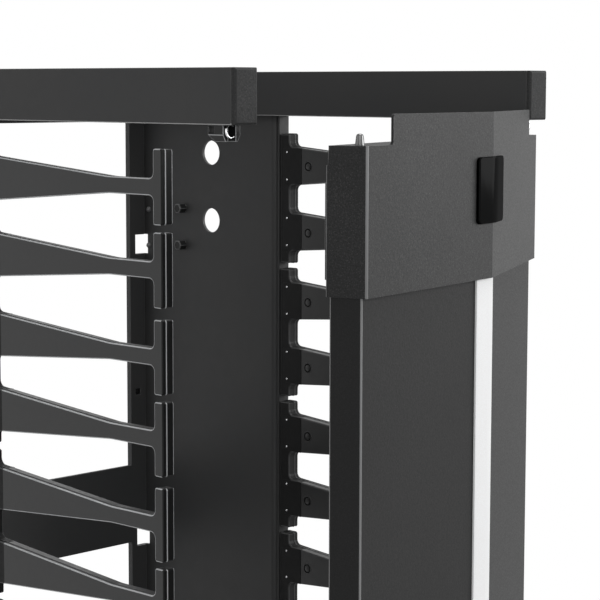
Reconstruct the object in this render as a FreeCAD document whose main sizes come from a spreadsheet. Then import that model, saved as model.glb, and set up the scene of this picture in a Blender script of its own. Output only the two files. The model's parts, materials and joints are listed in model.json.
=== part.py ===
# Vertical cable manager: a seven foot, single-sided rack cable channel with moulded cable
# fingers down both sides and a full-height metal door that hinges on spring-loaded pins.
#
# Frame: millimetres, +Z up, front towards -Y. The origin is the middle of the base plate's
# underside. The door stands open by the angle open_angle about its right-hand pins.

import FreeCAD
import Part
import Sketcher
import math
import os
import re

# Driving dimensions. Each one is written once, here, and everything else follows.
SIZES = [
    # Whole frame
    ("overall_height", 2134.0),
    ("overall_width", 254.0),
    ("frame_depth", 352.0),
    ("sheet_thickness", 2.0),
    # Rectangular tubes at the top and bottom of each side
    ("bar_height", 28.6),
    ("bar_width", 16.0),
    ("bar_wall", 1.5),
    ("bar_cap_thickness", 3.0),
    ("bar_plug_length", 8.0),
    ("bar_cap_chamfer", 1.0),
    ("tie_depth", 16.0),
    # Base plate
    ("base_thickness", 3.0),
    ("base_flange_height", 36.0),
    ("anchor_hole_bore", 14.0),
    ("anchor_side_inset", 45.0),
    ("anchor_end_inset", 60.0),
    # Side channels
    ("flange_setback", 216.7),
    ("flange_width", 7.1),
    ("rear_flange_width", 15.6),
    ("channel_bend_radius", 4.0),
    ("web_hole_bore", 16.6),
    ("web_hole_pitch", 46.2),
    ("web_hole_drop", 26.0),
    ("web_hole_setback", 62.1),
    # Back panel
    ("panel_rear_inset", 6.5),
    ("window_height", 244.0),
    ("window_pitch", 300.0),
    ("window_drop", 5.5),
    ("panel_side_gap", 2.0),
    ("panel_tab_side_gap", 3.0),
    ("panel_tab_end_gap", 5.0),
    ("slot_width", 10.4),
    ("slot_relief", 1.3),
    ("slot_height", 13.7),
    ("slot_count", 10.0),
    ("slot_inset", 120.65),
    # Cable finger modules
    ("module_pitch", 88.9),
    ("module_height", 85.5),
    ("module_drop", 11.6),
    ("stack_count", 3.0),
    ("finger_pitch", 43.3),
    ("finger_reach", 162.0),
    ("finger_thickness", 8.4),
    ("finger_base_depth", 22.6),
    ("finger_root_height", 24.4),
    ("finger_neck_height", 9.0),
    ("finger_neck_length", 35.6),
    ("finger_head_height", 39.6),
    ("finger_head_depth", 6.7),
    ("finger_chamfer", 1.8),
    # Latch sockets under and over the tubes
    ("socket_length", 22.0),
    ("socket_width", 12.0),
    ("socket_height", 8.5),
    ("socket_chamfer", 2.6),
    ("socket_slot_width", 6.2),
    ("socket_window_height", 7.0),
    ("socket_notch_length", 4.6),
    ("socket_notch_drop", 2.4),
    ("socket_notch_height", 3.4),
    ("clip_thickness", 0.8),
    ("clip_reach", 7.2),
    ("clip_height", 6.4),
    ("pin_stop_gap", 0.4),
    # Door
    ("open_angle", 19.0),
    ("pin_inset", 8.1),
    ("pin_setback", 13.4),
    ("door_front_reach", 7.6),
    ("crease_rise", 18.3),
    ("cap_drop", 8.9),
    ("cap_height", 73.0),
    ("cap_flange", 21.7),
    ("cap_front_wall", 3.3),
    ("cap_side_wall", 1.2),
    ("cap_roof", 2.0),
    ("crest_thickness", 1.5),
    ("flange_step_depth", 1.1),
    ("flange_step_height", 9.5),
    ("notch_width", 24.0),
    ("notch_height", 15.0),
    ("skin_thickness", 1.5),
    ("skin_flange", 17.1),
    ("skin_end_drop", 11.0),
    ("strip_width", 25.0),
    ("strip_thickness", 1.2),
    ("badge_width", 37.0),
    ("badge_height", 35.0),
    ("badge_thickness", 2.0),
    ("badge_drop", 8.5),
    # Spring-loaded door pins
    ("pin_bore", 4.7),
    ("pin_tip_bore", 3.1),
    ("pin_taper_length", 5.7),
    ("pin_tail_length", 69.0),
    ("pin_fit", 0.08),
    ("roof_hole_gap", 0.5),
    ("guide_plate", 1.2),
    ("guide_width", 10.5),
    ("guide_ear_reach", 6.5),
    ("guide_top_ear_drop", 18.0),
    ("guide_top_ear", 5.0),
    ("guide_foot_drop", 61.0),
    ("guide_foot_ear", 4.0),
    ("guide_overhang", 1.7),
    ("knob_gap", 0.3),
    ("knob_hub_width", 7.0),
    ("knob_hub_height", 8.0),
    ("knob_peg_width", 5.0),
    ("knob_peg_length", 13.0),
    ("spring_bore", 7.4),
    ("spring_wire", 0.8),
    ("spring_turns", 4.0),
    # Fasteners
    ("bolt_head_width", 7.0),
    ("bolt_head_height", 2.4),
    ("bolt_neck_width", 4.2),
    ("bolt_hole_width", 4.6),
    ("panel_bolt_count", 3.0),
    ("tie_bolt_inset", 36.0),
    ("bay_bolt_setback", 38.9),
    ("bay_bolt_drop", 65.1),
    ("bay_bolt_pitch", 25.5),
    # How far a cut runs past the faces it goes through
    ("cut_overrun", 1.0),
]

doc = FreeCAD.newDocument("cable_manager")
dims = doc.addObject("Spreadsheet::Sheet", "dims")
for row, (alias, size) in enumerate(SIZES, start=1):
    dims.set("A%d" % row, alias)
    dims.set("B%d" % row, repr(size))
    dims.setAlias("B%d" % row, alias)
doc.recompute()

NAMES = {alias for alias, size in SIZES}
V = FreeCAD.Vector


def bound(text):
    """The expression with each named size read from the sheet."""
    return re.sub(r"[a-z_]+", lambda m: "dims." + m.group() if m.group() in NAMES else m.group(), text)


def value(text):
    """The number that an expression of named sizes gives."""
    return float(dims.evalExpression(text))


# Places that several pieces share, as expressions of the driving dimensions.
HALF_WIDTH = "(overall_width / 2)"
FRONT = "(-frame_depth / 2)"
REAR = "(frame_depth / 2)"
BAR_INNER = "(overall_width / 2 - bar_width)"
TOP_BAR_Z = "(overall_height - bar_height)"
BOTTOM_BAR_TOP = "(base_thickness + bar_height)"
FLANGE_Y = "(flange_setback - frame_depth / 2)"
PANEL_Y = "(frame_depth / 2 - panel_rear_inset)"
WEB_X = "(overall_width / 2 - flange_width)"
MODULE_TOP = "(overall_height - bar_height - module_drop)"
WINDOW_HALF = "(overall_width / 2 - flange_width - rear_flange_width)"
HINGE_X = "(overall_width / 2 - pin_inset)"
HINGE_Y = "(pin_setback - frame_depth / 2)"
CAP_TOP_Z = "(overall_height - bar_height - cap_drop)"
CAP_LOW_Z = "(base_thickness + bar_height + cap_drop)"
CREASE_SLOPE = "(crease_rise / (overall_width / 2))"
TIE_BOLT_X = "(%s - tie_bolt_inset)" % BAR_INNER
TIE_BOLT_Z = "(overall_height - bar_height / 2)"
FOOT_BOLT_Z = "(base_thickness + base_flange_height / 2)"
PANEL_HALF = "(%s - panel_side_gap)" % WEB_X
PANEL_BOLT_X = "((%s + %s) / 2)" % (WINDOW_HALF, PANEL_HALF)
SLOT_PITCH = "((overall_height - 2 * slot_inset) / (slot_count - 1))"
PANEL_BOLT_Z = "(overall_height - slot_inset - %s / 2)" % SLOT_PITCH
PANEL_BOLT_RUN = "((slot_count - 2) * %s)" % SLOT_PITCH

# How many windows and finger modules the room between the bars takes.
CHANNEL_LENGTH = "(%s - %s)" % (TOP_BAR_Z, BOTTOM_BAR_TOP)
WINDOW_COUNT = ("floor((%s - 2 * window_drop + window_pitch - window_height) / window_pitch)"
                % CHANNEL_LENGTH)
MODULE_COUNT = ("floor((%s - 2 * module_drop + module_pitch - module_height) / module_pitch)"
                % CHANNEL_LENGTH)


def origin_item(body, role):
    return [item for item in body.Origin.OriginFeatures if item.Role == role][0]


def new_body(name):
    body = doc.addObject("PartDesign::Body", name)
    body.Label = name
    body.AllowCompound = True
    return body


def new_sketch(body, name, plane="XY_Plane", offset="0"):
    """A sketch on one of the body's own origin planes, moved along its normal."""
    sketch = body.newObject("Sketcher::SketchObject", name)
    sketch.AttachmentSupport = [(origin_item(body, plane), "")]
    sketch.MapMode = "FlatFace"
    sketch.setExpression("AttachmentOffset.Base.z", bound(offset))
    return sketch


def pin_down(sketch, element, position, across, up):
    """Hold a sketch point at two expressions measured from the sketch's origin."""
    for kind, text in (("DistanceX", across), ("DistanceY", up)):
        rule = Sketcher.Constraint(kind, -1, 1, element, position, value(text))
        index = sketch.addConstraint(rule)
        sketch.setExpression("Constraints[%d]" % index, bound(text))


def outline(sketch, corners):
    """A closed outline of straight edges through corners, each an (across, up) pair."""
    first = sketch.GeometryCount
    spots = [V(value(across), value(up), 0) for across, up in corners]
    count = len(spots)
    for i in range(count):
        sketch.addGeometry(Part.LineSegment(spots[i], spots[(i + 1) % count]))
    for i in range(count):
        follower = first + (i + 1) % count
        sketch.addConstraint(Sketcher.Constraint("Coincident", first + i, 2, follower, 1))
    for i, (across, up) in enumerate(corners):
        pin_down(sketch, first + i, 1, across, up)


def rectangle(sketch, left, right, low, high):
    outline(sketch, [(left, low), (right, low), (right, high), (left, high)])


def square(sketch, across, up, width):
    """A square round a centre, for a square-necked bolt."""
    rectangle(sketch, "%s - %s / 2" % (across, width), "%s + %s / 2" % (across, width),
              "%s - %s / 2" % (up, width), "%s + %s / 2" % (up, width))


def circle(sketch, across, up, bore):
    index = sketch.addGeometry(Part.Circle(V(value(across), value(up), 0), V(0, 0, 1), value(bore) / 2))
    pin_down(sketch, index, 3, across, up)
    rule = sketch.addConstraint(Sketcher.Constraint("Diameter", index, value(bore)))
    sketch.setExpression("Constraints[%d]" % rule, bound(bore))


def regular_polygon(sketch, across, up, width, sides):
    """A regular polygon with an even number of sides, width across its flats."""
    reach = "(%s / 2 / cos(%.1f deg))" % (width, 180.0 / sides)
    corners = []
    for i in range(sides):
        turn = (2 * i + 1) * math.pi / sides
        corners.append(("%s + %.6f * %s" % (across, math.cos(turn), reach),
                        "%s + %.6f * %s" % (up, math.sin(turn), reach)))
    outline(sketch, corners)


def pad(body, sketch, length, backwards=False):
    feature = body.newObject("PartDesign::Pad", sketch.Name + "_pad")
    feature.Profile = sketch
    feature.setExpression("Length", bound(length))
    feature.Reversed = backwards
    sketch.Visibility = False
    return feature


def pocket(body, sketch, length, backwards=False):
    """A cut against the sketch's normal, or along it when backwards is set."""
    feature = body.newObject("PartDesign::Pocket", sketch.Name + "_cut")
    feature.Profile = sketch
    feature.setExpression("Length", bound(length))
    feature.Reversed = backwards
    sketch.Visibility = False
    return feature


def revolve(body, sketch, axis="Z_Axis"):
    feature = body.newObject("PartDesign::Revolution", sketch.Name + "_turned")
    feature.Profile = sketch
    feature.ReferenceAxis = (origin_item(body, axis), [""])
    feature.Angle = 360.0
    return feature


def linear_pattern(body, feature, axis, length, copies, backwards=False, whole=False):
    pattern = body.newObject("PartDesign::LinearPattern", feature.Name + "_row")
    if whole:
        pattern.TransformMode = "Whole shape"
    else:
        pattern.Originals = [feature]
    pattern.Direction = (origin_item(body, axis), [""])
    pattern.Reversed = backwards
    pattern.setExpression("Length", bound(length))
    pattern.setExpression("Occurrences", bound(copies))
    body.Tip = pattern
    return pattern


def edges_through(shape, direction, spots, slack=0.01):
    """Names of the straight edges along a direction whose middle passes one of the spots."""
    found = []
    for number, edge in enumerate(shape.Edges, start=1):
        if edge.Curve.TypeId != "Part::GeomLine":
            continue
        run = edge.Curve.Direction
        if abs(abs(run.dot(direction)) - 1) > 1e-6:
            continue
        middle = edge.CenterOfMass
        for spot in spots:
            apart = middle - spot
            apart = apart - direction * apart.dot(direction)
            if apart.Length < slack:
                found.append("Edge%d" % number)
                break
    return found


def dress(body, kind, feature, edge_names, size):
    """A Fillet or Chamfer on the named edges of a feature."""
    dressing = body.newObject("PartDesign::" + kind, feature.Name + "_" + kind.lower())
    dressing.Base = (feature, edge_names)
    field = "Radius" if kind == "Fillet" else "Size"
    dressing.setExpression(field, bound(size))
    body.Tip = dressing
    return dressing


def spot(across="0", along="0", up="0"):
    return V(value(across), value(along), value(up))


def place(item, across="0", along="0", up="0"):
    for field, text in (("x", across), ("y", along), ("z", up)):
        item.setExpression("Placement.Base." + field, bound(text))


def hang_on_hinge(item):
    """Door pieces are drawn shut, about the hinge pins, and swung open to their place."""
    place(item, HINGE_X, HINGE_Y)
    item.setExpression("Placement.Rotation.Angle", bound("open_angle"))


SIDES = (("left", -1), ("right", 1))


def along_side(side, text):
    """A distance from the middle plane, put on the given side."""
    return "(%d * %s)" % (side, text)


# The frame's tubes and end caps.

def side_bar(name, side, low):
    body = new_body(name)
    inner, outer = along_side(side, BAR_INNER), along_side(side, HALF_WIDTH)
    tube = new_sketch(body, name + "_section", "XZ_Plane", "-(%s + bar_cap_thickness)" % FRONT)
    rectangle(tube, inner, outer, low, low + " + bar_height")
    wall = along_side(side, "bar_wall")
    rectangle(tube, "%s + %s" % (inner, wall), "%s - %s" % (outer, wall),
              low + " + bar_wall", low + " + bar_height - bar_wall")
    pad(body, tube, "frame_depth - 2 * bar_cap_thickness", backwards=True)
    return body


def end_cap(name, side, low, front):
    """A plastic cap: a plate over the tube's end and a plug that fills its mouth."""
    body = new_body(name)
    inner, outer = along_side(side, BAR_INNER), along_side(side, HALF_WIDTH)
    seat = "(%s + bar_cap_thickness)" % FRONT if front else "(%s - bar_cap_thickness)" % REAR
    plate = new_sketch(body, name + "_plate", "XZ_Plane", "-" + seat)
    rectangle(plate, inner, outer, low, low + " + bar_height")
    face = pad(body, plate, "bar_cap_thickness", backwards=not front)
    doc.recompute()
    edge_y = FRONT if front else REAR
    rim = [spot(inner, edge_y), spot(outer, edge_y)]
    rim_edges = edges_through(face.Shape, V(0, 0, 1), rim)
    level = [spot("0", edge_y, low), spot("0", edge_y, low + " + bar_height")]
    rim_edges += edges_through(face.Shape, V(1, 0, 0), level)
    dress(body, "Chamfer", face, rim_edges, "bar_cap_chamfer")
    wall = along_side(side, "bar_wall")
    plug = new_sketch(body, name + "_plug", "XZ_Plane", "-" + seat)
    rectangle(plug, "%s + %s" % (inner, wall), "%s - %s" % (outer, wall),
              low + " + bar_wall", low + " + bar_height - bar_wall")
    pad(body, plug, "bar_plug_length", backwards=front)
    return body


def bolt_hole_pair(sketch, spread, level):
    """Two bolt holes at one height, spread each side of the middle."""
    for side_name, side in SIDES:
        square(sketch, along_side(side, spread), level, "bolt_hole_width")


def top_tie():
    """A square tube between the tops of the two sides, in front of the back panel."""
    body = new_body("top_tie")
    section = new_sketch(body, "tie_section", "YZ_Plane", "-" + BAR_INNER)
    near, far = "%s - tie_depth" % PANEL_Y, PANEL_Y
    rectangle(section, near, far, TOP_BAR_Z, "overall_height")
    rectangle(section, near + " + bar_wall", far + " - bar_wall",
              TOP_BAR_Z + " + bar_wall", "overall_height - bar_wall")
    pad(body, section, "2 * " + BAR_INNER)
    holes = new_sketch(body, "tie_holes", "XZ_Plane", "-" + PANEL_Y)
    bolt_hole_pair(holes, TIE_BOLT_X, TIE_BOLT_Z)
    pocket(body, holes, "bar_wall + cut_overrun", backwards=True)
    return body


def base_plate():
    """Floor plate with four anchor holes and a rear flange that carries the back panel."""
    body = new_body("base_plate")
    plate = new_sketch(body, "base_outline")
    rectangle(plate, "-" + HALF_WIDTH, HALF_WIDTH, FRONT, REAR)
    for across in (-1, 1):
        for along in (-1, 1):
            circle(plate, "%d * (overall_width / 2 - anchor_side_inset)" % across,
                   "%d * (frame_depth / 2 - anchor_end_inset)" % along, "anchor_hole_bore")
    pad(body, plate, "base_thickness")
    flange = new_sketch(body, "base_flange", "XY_Plane", "base_thickness")
    edge = "(%s - panel_tab_side_gap)" % BAR_INNER
    rectangle(flange, "-" + edge, edge, PANEL_Y + " - base_thickness", PANEL_Y)
    pad(body, flange, "base_flange_height")
    holes = new_sketch(body, "base_bolt_holes", "XZ_Plane", "-" + PANEL_Y)
    bolt_hole_pair(holes, TIE_BOLT_X, FOOT_BOLT_Z)
    pocket(body, holes, "base_thickness + cut_overrun", backwards=True)
    return body


# The side channels: a flange turned out for the fingers, a deep web and a rear flange.

def side_channel(name, side):
    body = new_body(name)
    section = new_sketch(body, name + "_section", "XY_Plane", BOTTOM_BAR_TOP)
    at = lambda text: along_side(side, text)
    outside = HALF_WIDTH
    web_in, web_out = WEB_X, "(%s + sheet_thickness)" % WEB_X
    rear_in = "(%s + sheet_thickness)" % PANEL_Y
    rear_out = "(%s + 2 * sheet_thickness)" % PANEL_Y
    outline(section, [
        (at(outside), FLANGE_Y),
        (at(web_in), FLANGE_Y),
        (at(web_in), rear_in),
        (at(WINDOW_HALF), rear_in),
        (at(WINDOW_HALF), rear_out),
        (at(web_out), rear_out),
        (at(web_out), "(%s + sheet_thickness)" % FLANGE_Y),
        (at(outside), "(%s + sheet_thickness)" % FLANGE_Y),
    ])
    sheet = pad(body, section, CHANNEL_LENGTH)
    doc.recompute()
    bends = edges_through(sheet.Shape, V(0, 0, 1), [spot(at(web_in), FLANGE_Y), spot(at(web_out), rear_out)])
    dress(body, "Fillet", sheet, bends, "channel_bend_radius")

    drill_y = "(%s + web_hole_setback)" % FLANGE_Y
    holes = new_sketch(body, name + "_holes", "YZ_Plane", at("(%s - sheet_thickness)" % web_in))
    upper, lower = "(%s - web_hole_drop)" % TOP_BAR_Z, "(%s + web_hole_drop)" % BOTTOM_BAR_TOP
    for high, step in ((upper, -1), (lower, 1)):
        circle(holes, drill_y, high, "web_hole_bore")
        circle(holes, drill_y, "(%s + %d * web_hole_pitch)" % (high, step), "web_hole_bore")
    for level in bay_bolt_levels():
        square(holes, BAY_BOLT_Y, level, "bolt_hole_width")
    pocket(body, holes, "4 * sheet_thickness", backwards=side > 0)

    slots = new_sketch(body, name + "_slots", "XZ_Plane", "-(%s - slot_relief)" % PANEL_Y)
    rear_slot(slots, side, "(%s + cut_overrun)" % web_out)
    first_slot = pocket(body, slots, "slot_relief + 2 * sheet_thickness + cut_overrun")
    rear_slot_row(body, first_slot)
    drilling = new_sketch(body, name + "_drilling", "XZ_Plane", "-" + rear_in)
    square(drilling, at(PANEL_BOLT_X), PANEL_BOLT_Z, "bolt_hole_width")
    first_hole = pocket(body, drilling, "2 * sheet_thickness")
    panel_bolt_row(body, first_hole)
    return body


def rear_slot(sketch, side, outer_edge):
    """The first slot of the row down the rear corner, cut across the bend as far as outer_edge."""
    near, far = along_side(side, "(%s - slot_width)" % WEB_X), along_side(side, outer_edge)
    level = "(overall_height - slot_inset)"
    rectangle(sketch, near, far, level + " - slot_height / 2", level + " + slot_height / 2")


def rear_slot_row(body, feature):
    run = "(slot_count - 1) * " + SLOT_PITCH
    return linear_pattern(body, feature, "Z_Axis", run, "slot_count", backwards=True)


def panel_bolt_row(body, feature, whole=False):
    copies = "panel_bolt_count"
    return linear_pattern(body, feature, "Z_Axis", PANEL_BOLT_RUN, copies, backwards=True, whole=whole)


BAY_BOLT_Y = "(%s - bay_bolt_setback)" % PANEL_Y


def bay_bolt_levels():
    """Heights of the four bolts that join each side to the rack beside it."""
    high = "(%s - bay_bolt_drop)" % TOP_BAR_Z
    low = "(%s + bay_bolt_drop)" % BOTTOM_BAR_TOP
    return [high, "(%s - bay_bolt_pitch)" % high, low, "(%s + bay_bolt_pitch)" % low]


# The back panel, open in tall windows for cables that pass through to the rear.

def back_panel():
    body = new_body("back_panel")
    sheet = new_sketch(body, "panel_outline", "XZ_Plane", "-" + PANEL_Y)
    wide = PANEL_HALF
    narrow = "(%s - panel_tab_side_gap)" % BAR_INNER
    foot, head = "(base_thickness + panel_tab_end_gap)", "(overall_height - panel_tab_end_gap)"
    outline(sheet, [
        ("-" + narrow, foot), (narrow, foot),
        (narrow, BOTTOM_BAR_TOP), (wide, BOTTOM_BAR_TOP),
        (wide, TOP_BAR_Z), (narrow, TOP_BAR_Z),
        (narrow, head), ("-" + narrow, head),
        ("-" + narrow, TOP_BAR_Z), ("-" + wide, TOP_BAR_Z),
        ("-" + wide, BOTTOM_BAR_TOP), ("-" + narrow, BOTTOM_BAR_TOP),
    ])
    pad(body, sheet, "sheet_thickness", backwards=True)
    window = new_sketch(body, "panel_window", "XZ_Plane", "-" + PANEL_Y)
    window_top = "(%s - window_drop)" % TOP_BAR_Z
    rectangle(window, "-" + WINDOW_HALF, WINDOW_HALF, "(%s - window_height)" % window_top, window_top)
    cut = pocket(body, window, "sheet_thickness")
    window_run = "(%s - 1) * window_pitch" % WINDOW_COUNT
    linear_pattern(body, cut, "Z_Axis", window_run, WINDOW_COUNT, backwards=True)
    slots = new_sketch(body, "panel_slots", "XZ_Plane", "-" + PANEL_Y)
    for name, side in SIDES:
        rear_slot(slots, side, "(%s + cut_overrun)" % wide)
    first_slot = pocket(body, slots, "sheet_thickness")
    rear_slot_row(body, first_slot)
    drilling = new_sketch(body, "panel_drilling", "XZ_Plane", "-" + PANEL_Y)
    bolt_hole_pair(drilling, PANEL_BOLT_X, PANEL_BOLT_Z)
    first_pair = pocket(body, drilling, "sheet_thickness")
    panel_bolt_row(body, first_pair)
    ends = new_sketch(body, "panel_end_drilling", "XZ_Plane", "-" + PANEL_Y)
    bolt_hole_pair(ends, TIE_BOLT_X, TIE_BOLT_Z)
    bolt_hole_pair(ends, TIE_BOLT_X, FOOT_BOLT_Z)
    pocket(body, ends, "sheet_thickness")
    return body


# Cable fingers. One module is a base with two T-headed fingers, moulded in one piece.

def finger_outline():
    """Corners of one module seen from the side: (forward of the flange, up from its foot)."""
    tip, neck_rear = "-finger_reach", "-(finger_reach - finger_head_depth - finger_neck_length)"
    head_rear = "-(finger_reach - finger_head_depth)"
    base_front = "-finger_base_depth"
    corners = [("0", "0"), ("0", "module_height"), (base_front, "module_height")]
    for sign in (1, -1):
        centre = "(module_height / 2 + %d * finger_pitch / 2)" % sign
        for half, rear in (("finger_root_height / 2", base_front), ("finger_neck_height / 2", neck_rear),
                           ("finger_neck_height / 2", head_rear), ("finger_head_height / 2", head_rear),
                           ("finger_head_height / 2", tip)):
            corners.append((rear, "(%s + %s)" % (centre, half)))
        for half, rear in (("finger_head_height / 2", tip), ("finger_head_height / 2", head_rear),
                           ("finger_neck_height / 2", head_rear), ("finger_neck_height / 2", neck_rear),
                           ("finger_root_height / 2", base_front)):
            corners.append((rear, "(%s - %s)" % (centre, half)))
    corners.append((base_front, "0"))
    return corners


def eased_finger_corners():
    """The inner corners that are eased: at each finger's root and behind its head."""
    found = []
    for sign in (1, -1):
        centre = "(module_height / 2 + %d * finger_pitch / 2)" % sign
        for rear, half in (("-finger_base_depth", "finger_root_height / 2"),
                           ("-(finger_reach - finger_head_depth)", "finger_neck_height / 2")):
            for way in ("+", "-"):
                found.append(spot("0", rear, "%s %s %s" % (centre, way, half)))
    return found


def finger_stack(name, side, first_module, count):
    """Modules one above another on one side, from the first_module down."""
    body = new_body(name)
    inner = "(%s - finger_thickness)" % HALF_WIDTH
    start = inner if side > 0 else "(-%s)" % HALF_WIDTH
    side_view = new_sketch(body, name + "_outline", "YZ_Plane", start)
    outline(side_view, finger_outline())
    module = pad(body, side_view, "finger_thickness")
    doc.recompute()
    edges = edges_through(module.Shape, V(1, 0, 0), eased_finger_corners())
    dress(body, "Chamfer", module, edges, "finger_chamfer")
    doc.recompute()
    if count > 1:
        linear_pattern(body, module, "Z_Axis", "%d * module_pitch" % (count - 1), str(count),
                       backwards=True, whole=True)
    foot = "(%s - module_height - %d * module_pitch)" % (MODULE_TOP, first_module)
    place(body, "0", FLANGE_Y, foot)
    return body


def all_finger_stacks():
    total = int(value(MODULE_COUNT))
    per_stack = math.ceil(total / int(value("stack_count")))
    for side_name, side in SIDES:
        for number, first in enumerate(range(0, total, per_stack), start=1):
            finger_stack("fingers_%s_%d" % (side_name, number), side, first, min(per_stack, total - first))


# Latch sockets and their steel clips, one at each corner that the door can hang from.

def corner_list():
    """Each corner's name, side and way up: 1 at the top, -1 at the bottom."""
    return [("%s_%s" % (level, side_name), side, way)
            for level, way in (("top", 1), ("bottom", -1)) for side_name, side in SIDES]


def socket_face(way):
    """Height of the tube's face that the socket sits on."""
    return TOP_BAR_Z if way > 0 else BOTTOM_BAR_TOP


def latch_socket(name, side, way):
    """A moulded block open to the front, with a window that shows the clip inside."""
    body = new_body("latch_socket_" + name)
    seat = socket_face(way)
    far = "(%s - %d * socket_height)" % (seat, way)
    bevel = "(%s - %d * (socket_height - socket_chamfer))" % (seat, way)
    side_view = new_sketch(body, name + "_socket_side", "YZ_Plane", "-socket_width / 2")
    front, rear = FRONT, "(%s + socket_length)" % FRONT
    outline(side_view, [
        (front, seat), (rear, seat), (rear, bevel), (rear + " - socket_chamfer", far),
        (front + " + socket_chamfer", far), (front, bevel),
    ])
    block = pad(body, side_view, "socket_width")
    slot_end = "(%s + pin_bore / 2 + pin_stop_gap + clip_thickness)" % HINGE_Y
    slot = new_sketch(body, name + "_socket_slot", "XY_Plane", "%s + socket_height" % seat)
    rectangle(slot, "-socket_slot_width / 2", "socket_slot_width / 2", front + " - cut_overrun", slot_end)
    pocket(body, slot, "2 * socket_height")
    window = new_sketch(body, name + "_socket_window", "YZ_Plane", "socket_width / 2 + cut_overrun")
    rectangle(window, "(%s - clip_reach)" % slot_end, slot_end, seat,
              "(%s - %d * socket_window_height)" % (seat, way))
    notch_end = "(%s - %d * (socket_notch_drop + socket_notch_height))" % (seat, way)
    rectangle(window, rear + " - socket_notch_length", rear + " + cut_overrun",
              "(%s - %d * socket_notch_drop)" % (seat, way), notch_end)
    pocket(body, window, "socket_width + 2 * cut_overrun")
    place(body, along_side(side, HINGE_X))
    return body


def latch_clip(name, side, way):
    """A strip of spring steel bent to a C, open to the front, slotted for the pin."""
    body = new_body("latch_clip_" + name)
    seat = socket_face(way)
    rear = "(%s + pin_bore / 2 + pin_stop_gap + clip_thickness)" % HINGE_Y
    front = "(%s - clip_reach)" % rear
    foot = "(%s - %d * clip_height)" % (seat, way)
    side_view = new_sketch(body, name + "_clip_side", "YZ_Plane", "-socket_width / 2")
    inner_top = "(%s - %d * clip_thickness)" % (seat, way)
    inner_foot = "(%s + %d * clip_thickness)" % (foot, way)
    outline(side_view, [
        (front, seat), (rear, seat), (rear, foot), (front, foot), (front, inner_foot),
        (rear + " - clip_thickness", inner_foot), (rear + " - clip_thickness", inner_top),
        (front, inner_top),
    ])
    pad(body, side_view, "socket_width")
    slot = new_sketch(body, name + "_clip_slot", "XY_Plane", inner_foot if way > 0 else foot)
    rectangle(slot, "-socket_slot_width / 2", "socket_slot_width / 2",
              front + " - cut_overrun", rear + " - clip_thickness")
    pocket(body, slot, "clip_thickness")
    place(body, along_side(side, HINGE_X))
    return body


# The door: a creased steel skin with returned sides, a pale centre strip and two end caps.

def door_front(half_run, depth):
    """How far forward the door's face lies, half_run from its middle and depth below the face."""
    return "(-door_front_reach - %s * (%s - %s) + %s)" % (CREASE_SLOPE, HALF_WIDTH, half_run, depth)


MIDDLE_X = "(-%s)" % HINGE_X


def from_middle(side, half_run):
    return "(%s + %d * %s)" % (MIDDLE_X, side, half_run)


def creased_profile(half, depth, back):
    """A shallow V prism's section, open side at back: seen from above, with the door shut."""
    return [
        (from_middle(-1, half), back), (from_middle(-1, half), door_front(half, depth)),
        (MIDDLE_X, door_front("0", depth)),
        (from_middle(1, half), door_front(half, depth)), (from_middle(1, half), back),
    ]


def creased_strip(half, depth, inner_depth):
    """The section of a strip bent over the door's crease, between two depths below its face."""
    outer = [(from_middle(-1, half), door_front(half, depth)), (MIDDLE_X, door_front("0", depth)),
             (from_middle(1, half), door_front(half, depth))]
    inner = [(from_middle(1, half), door_front(half, inner_depth)), (MIDDLE_X, door_front("0", inner_depth)),
             (from_middle(-1, half), door_front(half, inner_depth))]
    return outer + inner


SKIN_HALF = "(overall_width / 2 - cap_side_wall)"
SKIN_DEPTH = "cap_front_wall"


def door_skin():
    body = new_body("door_skin")
    low, high = "(%s + skin_end_drop)" % CAP_LOW_Z, "(%s - skin_end_drop)" % CAP_TOP_Z
    section = new_sketch(body, "skin_section", "XY_Plane", low)
    inner_half = "(%s - skin_thickness)" % SKIN_HALF
    back = "(%s + skin_flange)" % door_front(SKIN_HALF, SKIN_DEPTH)
    outer = creased_profile(SKIN_HALF, SKIN_DEPTH, back)
    inner = creased_profile(inner_half, "(%s + skin_thickness)" % SKIN_DEPTH, back)
    outline(section, outer + inner[::-1])
    pad(body, section, "%s - %s" % (high, low))
    hang_on_hinge(body)
    return body


def accent_strip():
    body = new_body("accent_strip")
    low, high = "(%s + cap_height)" % CAP_LOW_Z, "(%s - cap_height)" % CAP_TOP_Z
    section = new_sketch(body, "strip_section", "XY_Plane", low)
    outline(section, creased_strip("(strip_width / 2)", "(%s - strip_thickness)" % SKIN_DEPTH, SKIN_DEPTH))
    pad(body, section, "%s - %s" % (high, low))
    hang_on_hinge(body)
    return body


def badge_plate():
    body = new_body("badge_plate")
    high = "(%s - badge_drop)" % CAP_TOP_Z
    section = new_sketch(body, "badge_section", "XY_Plane", high + " - badge_height")
    outline(section, creased_strip("(badge_width / 2)", "(-badge_thickness)", "0"))
    pad(body, section, "badge_height")
    hang_on_hinge(body)
    return body


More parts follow.
